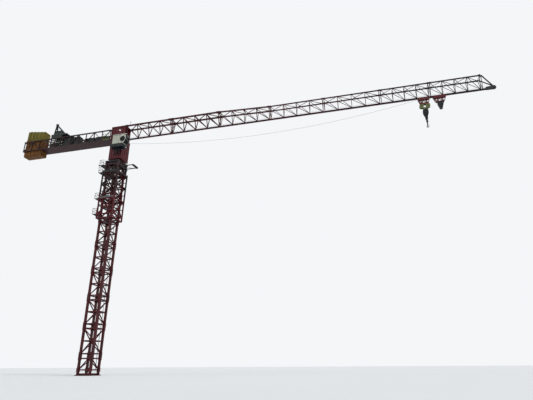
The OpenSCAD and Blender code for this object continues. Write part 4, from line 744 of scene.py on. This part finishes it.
flange_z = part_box("turntable")[1].z
flange_feet = [(-0.100 + 0.030 * k, sy * 0.1305, flange_z) for sy, k in product(SIDES, range(9))]
joined("head_flange_nuts", nuts(flange_feet, UP, 0.0026), "dark_steel", "upper")

# cab: rubber round the windows, wiper, door, rails, roof ribs and floodlight

shell_low, shell_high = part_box("cab_shell")
skin_out = 0.005
cab_x, cab_y, cab_z = shell_low.x + skin_out, shell_low.y + skin_out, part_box("cab_platform")[1].z - 0.11
cab_h, nose_l, cab_w = 0.196, 0.285, 0.14
front = np.array([(nose_l - cab_h * 0.23, 0.0), (nose_l, cab_h * 0.42), (nose_l, cab_h * 0.72),
                  (nose_l - cab_h * 0.13, cab_h)])
window = (cab_x + front[0, 0] - 0.106 * 0.22, cab_z + cab_h * 0.45)
seals = [hoop((window[0], y, window[1]), ACROSS, 0.0535, 0.0028, 48, 10)
         for y in (cab_y - 0.0002, cab_y + cab_w + 0.0002)]
for a, b in zip(front[:-1], front[1:]):
    step = unit(b - a)
    outward = np.array((step[1], -step[0]))
    a, b = a + step * 0.0045 + outward * 0.0004, b - step * 0.0045 + outward * 0.0004
    near, far = cab_y + 0.008, cab_y + 0.132
    corners = [(cab_x + p[0], y, cab_z + p[1]) for p, y in ((a, near), (a, far), (b, far), (b, near))]
    rim = np.concatenate([np.linspace(corners[i], corners[(i + 1) % 4], 10, endpoint=False)
                          for i in range(4)])
    seals.append(carried(rim, circle(0.0022, 8), (step[1], 0.0, -step[0]), loop=True))
joined("window_seals", seals, "rope", "upper", smooth=True)

glass_x, pivot_z = cab_x + 0.2856, cab_z + cab_h * 0.44 - 0.004
arm = [(glass_x + 0.002, cab_y + 0.066, pivot_z), (glass_x + 0.003, cab_y + 0.072, pivot_z + 0.024),
       (glass_x + 0.0015, cab_y + 0.079, pivot_z + 0.048)]
blade = [(-0.0012, -0.0012), (0.0012, -0.0012), (0.0004, 0.0012), (-0.0004, 0.0012)]
wiper = [turned((glass_x, cab_y + 0.066, pivot_z), ALONG, [(0, 0.003), (0.001, 0.0036), (0.003, 0.003)], 14),
         bent_bar(arm, 0.0009, 16, 6, ALONG),
         carried([(glass_x + 0.0012, cab_y + 0.079, pivot_z + 0.012 + 0.006 * k) for k in range(8)],
                 blade, ALONG)]
joined("wiper", wiper, "dark_steel", "upper")

door_y0, door_y1 = cab_y + 0.142 * 0.3, cab_y + 0.139 * 0.75
door_z0, door_z1, corner = cab_z + 0.006, cab_z + 0.174, 0.01
leaf = [(door_y0 + corner, door_z0), (door_y1 - corner, door_z0), (door_y1, door_z0 + corner),
        (door_y1, door_z1 - corner), (door_y1 - corner, door_z1), (door_y0 + corner, door_z1),
        (door_y0, door_z1 - corner), (door_y0, door_z0 + corner)]
door = plate([(-y, z) for y, z in leaf][::-1], (cab_x + 0.0045, 0, 0), (0, -1, 0), UP, 0.0035, 0.001)
joined("cab_door", [door], "cab_paint", "upper")

door_handle = ((0.0, 0.07), (0.006, 0.074), (0.006, 0.10), (0.0, 0.104))
door_hinge = [(0, 0.0018), (0.001, 0.0026), (0.008, 0.0026), (0.0085, 0.002), (0.009, 0.0026),
              (0.017, 0.0026), (0.018, 0.0018)]
rails = [bent_bar([(cab_x - out, door_y1 - 0.010, cab_z + rise) for out, rise in door_handle],
                  0.0014, 20, 8, ACROSS)]
rails += [turned((cab_x - 0.001, door_y0 - 0.0005, cab_z + rise), UP, door_hinge, 10)
          for rise in (0.03, 0.13)]
gutter = ((0.02, 0.0018), (0.024, -0.0022), (0.17, -0.0022), (0.174, 0.0018))
rails.append(bent_bar([(cab_x + dx, cab_y + dy, cab_z + 0.178) for dx, dy in gutter], 0.0014, 40, 8))
joined("cab_rails_and_hinges", rails, "galvanised", "upper")

# roof height = top + 0.6 mm + 1.6 mm * min(1, max(-0.2, 1.6*sin(2*pi*x/pitch)))
rib_pitch = 0.041
roof_x = np.linspace(cab_x + 0.004, cab_x + 0.250, 150)
lift = shell_high.z + 0.0006 + 0.0016 * np.clip(1.6 * np.sin(TAU * roof_x / rib_pitch), -0.2, 1.0)
roof_rows = [np.stack([roof_x, np.full_like(roof_x, cab_y + dy), lift + dz], axis=-1)
             for dy, dz in ((0.006, -0.001), (0.008, 0.0), (0.132, 0.0), (0.134, -0.001))]
joined("cab_roof_ribs", [skin(np.stack(roof_rows, axis=1), around=False, ends=False)], "cab_paint", "upper")

flood_at, flood_aim = np.array((0.270, -0.17, 4.150)), (1, 0.1, -0.25)
housing = [(0, 0.006), (0.003, 0.0095), (0.012, 0.0125), (0.020, 0.0145), (0.022, 0.0145), (0.0225, 0.0125)]
lens = [(0, 0.0122), (0.001, 0.011), (0.002, 0.007), (0.0023, 0.001)]
joined("floodlight_housing", [turned(flood_at - (0.016, 0, 0), flood_aim, housing, 24)], "galvanised",
       "upper", smooth=True)
joined("floodlight_lens", [turned(flood_at + (0.0055, 0.0022, -0.0056), flood_aim, lens, 24)], "flood_glass",
       "upper", smooth=True)
bracket = [bent_bar([flood_at + (-0.008, sy * 0.0135, 0.0), flood_at + (-0.01, sy * 0.0145, 0.012),
                     flood_at + (-0.012, sy * 0.006, 0.024)], 0.0014, 20, 8, ACROSS) for sy in SIDES]
joined("floodlight_bracket", bracket, "dark_steel", "upper")

# trolleys: wheel hubs, nuts and rope guards

wheel_cap = [(0, 0.0052), (0.0008, 0.006), (0.0018, 0.006), (0.0022, 0.0035), (0.0036, 0.0035),
             (0.004, 0.0025)]
sheave_cap = [(0, 0.0095), (0.001, 0.0105), (0.0025, 0.0105), (0.003, 0.006), (0.005, 0.006),
              (0.006, 0.0045)]
trolley_mid, second_mid = 0.5 * (trolley_low.x + trolley_high.x), 6.125
trolley_face, sheave_shift = 0.0224, 0.054
hubs = []
for (x, length), end, sy in product(((trolley_mid, 0.198), (second_mid, 0.214)), SIDES, SIDES):
    hub_at = (x + end * length * 0.36, sy * trolley_face, jib_mid - 0.0012)
    hubs.append(turned(hub_at, (0, sy, 0), wheel_cap, 16))
    hubs += nuts([(x + end * length * share, sy * trolley_face, jib_mid - 0.020) for share in (0.46, 0.22)],
                 (0, sy, 0), 0.0022)
sheave_z = falls_high.z
for end, sy in product(SIDES, SIDES):
    hub_at = (trolley_mid + end * sheave_shift, sy * trolley_face, sheave_z)
    hubs.append(turned(hub_at, (0, sy, 0), sheave_cap, 18))
joined("trolley_hubs", hubs, "dark_steel", "trolley")

guard_radius = 0.031
guards = [bent_bar([(trolley_mid + end * sheave_shift + guard_radius * math.cos(a), sy * 0.0075,
                     sheave_z + guard_radius * math.sin(a)) for a in np.linspace(-2.5, -0.6, 7)],
                   0.0014, 26, 8, ACROSS) for end, sy in product(SIDES, SIDES)]
joined("sheave_guards", guards, "galvanised", "trolley", smooth=True)

# hook block: cheek bosses, nuts and stiffeners

block_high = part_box("hook_block")[1]
face = block_high.y
boss = [(0, 0.017), (0.001, 0.018), (0.003, 0.018), (0.0032, 0.011), (0.006, 0.011), (0.007, 0.009)]
cheek_nuts = ((-0.034, -0.018), (0.034, -0.018), (-0.030, -0.088), (0.030, -0.088), (0.0, -0.108),
              (0.0, -0.150))
cheeks = []
for sy in SIDES:
    cheeks.append(turned((trolley_x, sy * face, block_high.z - 0.0555), (0, sy, 0), boss, 24))
    cheeks += nuts([(trolley_x + dx, sy * face, block_high.z + dz) for dx, dz in cheek_nuts], (0, sy, 0),
                   0.0034)
    for dx in (-0.0108, 0.0108):
        cheeks.append(plate(oblong(0.002, 0.045), (trolley_x + dx, sy * (face - 0.001), block_high.z - 0.130),
                            (-sy, 0, 0), UP, 0.004, 0.0008))
joined("block_cheek_fittings", cheeks, "dark_steel", "hook_block")

# forged hook in place of the plain one: an oval section carried down the shank and round the bowl, and drawn
# out to a rounded tip, with a spring latch across the mouth

hook_low, hook_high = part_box("hook")
bowl, thick = 0.013, 0.013
centre_z = hook_low.z + bowl + thick
bowl_dir = np.array((math.cos(-math.pi / 4), math.sin(-math.pi / 4), 0.0))
bowl_axis = np.cross(bowl_dir, UP)
shank_top = hook_high.z - 0.0144
mean = bowl + thick / 2
sweep = np.radians(np.linspace(112.0, 380.0, 44))
flat = [(0.0, z) for z in np.linspace(shank_top, centre_z + 0.055, 12)]
flat += [(-0.0005, centre_z + 0.046), (-0.0025, centre_z + 0.036)]
flat += [(mean * math.cos(a), centre_z + mean * math.sin(a)) for a in sweep]
flat += [(mean * 1.02, centre_z + 0.012), (mean * 1.10, centre_z + 0.018)]
flat = np.array(flat)
path = np.array((trolley_x, 0.0, 0.0)) + flat[:, :1] * bowl_dir + flat[:, 1:] * np.array(UP)
shares = [0.0, 0.2, 0.3, 0.55, 0.75, 0.9, 0.97, 1.0]
s = np.linspace(0.0, 1.0, len(flat))
wide = np.interp(s, shares, [0.009, 0.009, 0.0078, 0.0074, 0.0072, 0.005, 0.0036, 0.0016])
deep = np.interp(s, shares, [0.009, 0.009, 0.0062, 0.0064, 0.0062, 0.0045, 0.0034, 0.0016])
t = angles(14)
section = np.stack([deep[:, None] * np.cos(t), wide[:, None] * np.sin(t)], axis=-1)
shank_nut = [(0, 0.0132), (0.001, 0.0144), (0.012, 0.0144), (0.0144, 0.0125)]
collar = [(0, 0.0125), (0.001, 0.0135), (0.008, 0.0135), (0.009, 0.012)]
forged = [carried(path, section, bowl_axis),
          turned((trolley_x, 0, shank_top), UP, shank_nut, 6),
          turned((trolley_x, 0, centre_z + bowl + thick + 0.045), UP, collar, 24)]
joined("forged_hook", forged, "dark_steel", "hook", "hook", smooth=True)

latch = [np.array((trolley_x, 0, centre_z + rise)) + bowl_dir * out
         for out, rise in ((0.004, 0.034), (0.010, 0.026), (0.0175, 0.018))]
joined("hook_latch", [bent_bar(latch, 0.0016, 18, 8, tuple(bowl_axis))], "galvanised", "hook", smooth=True)
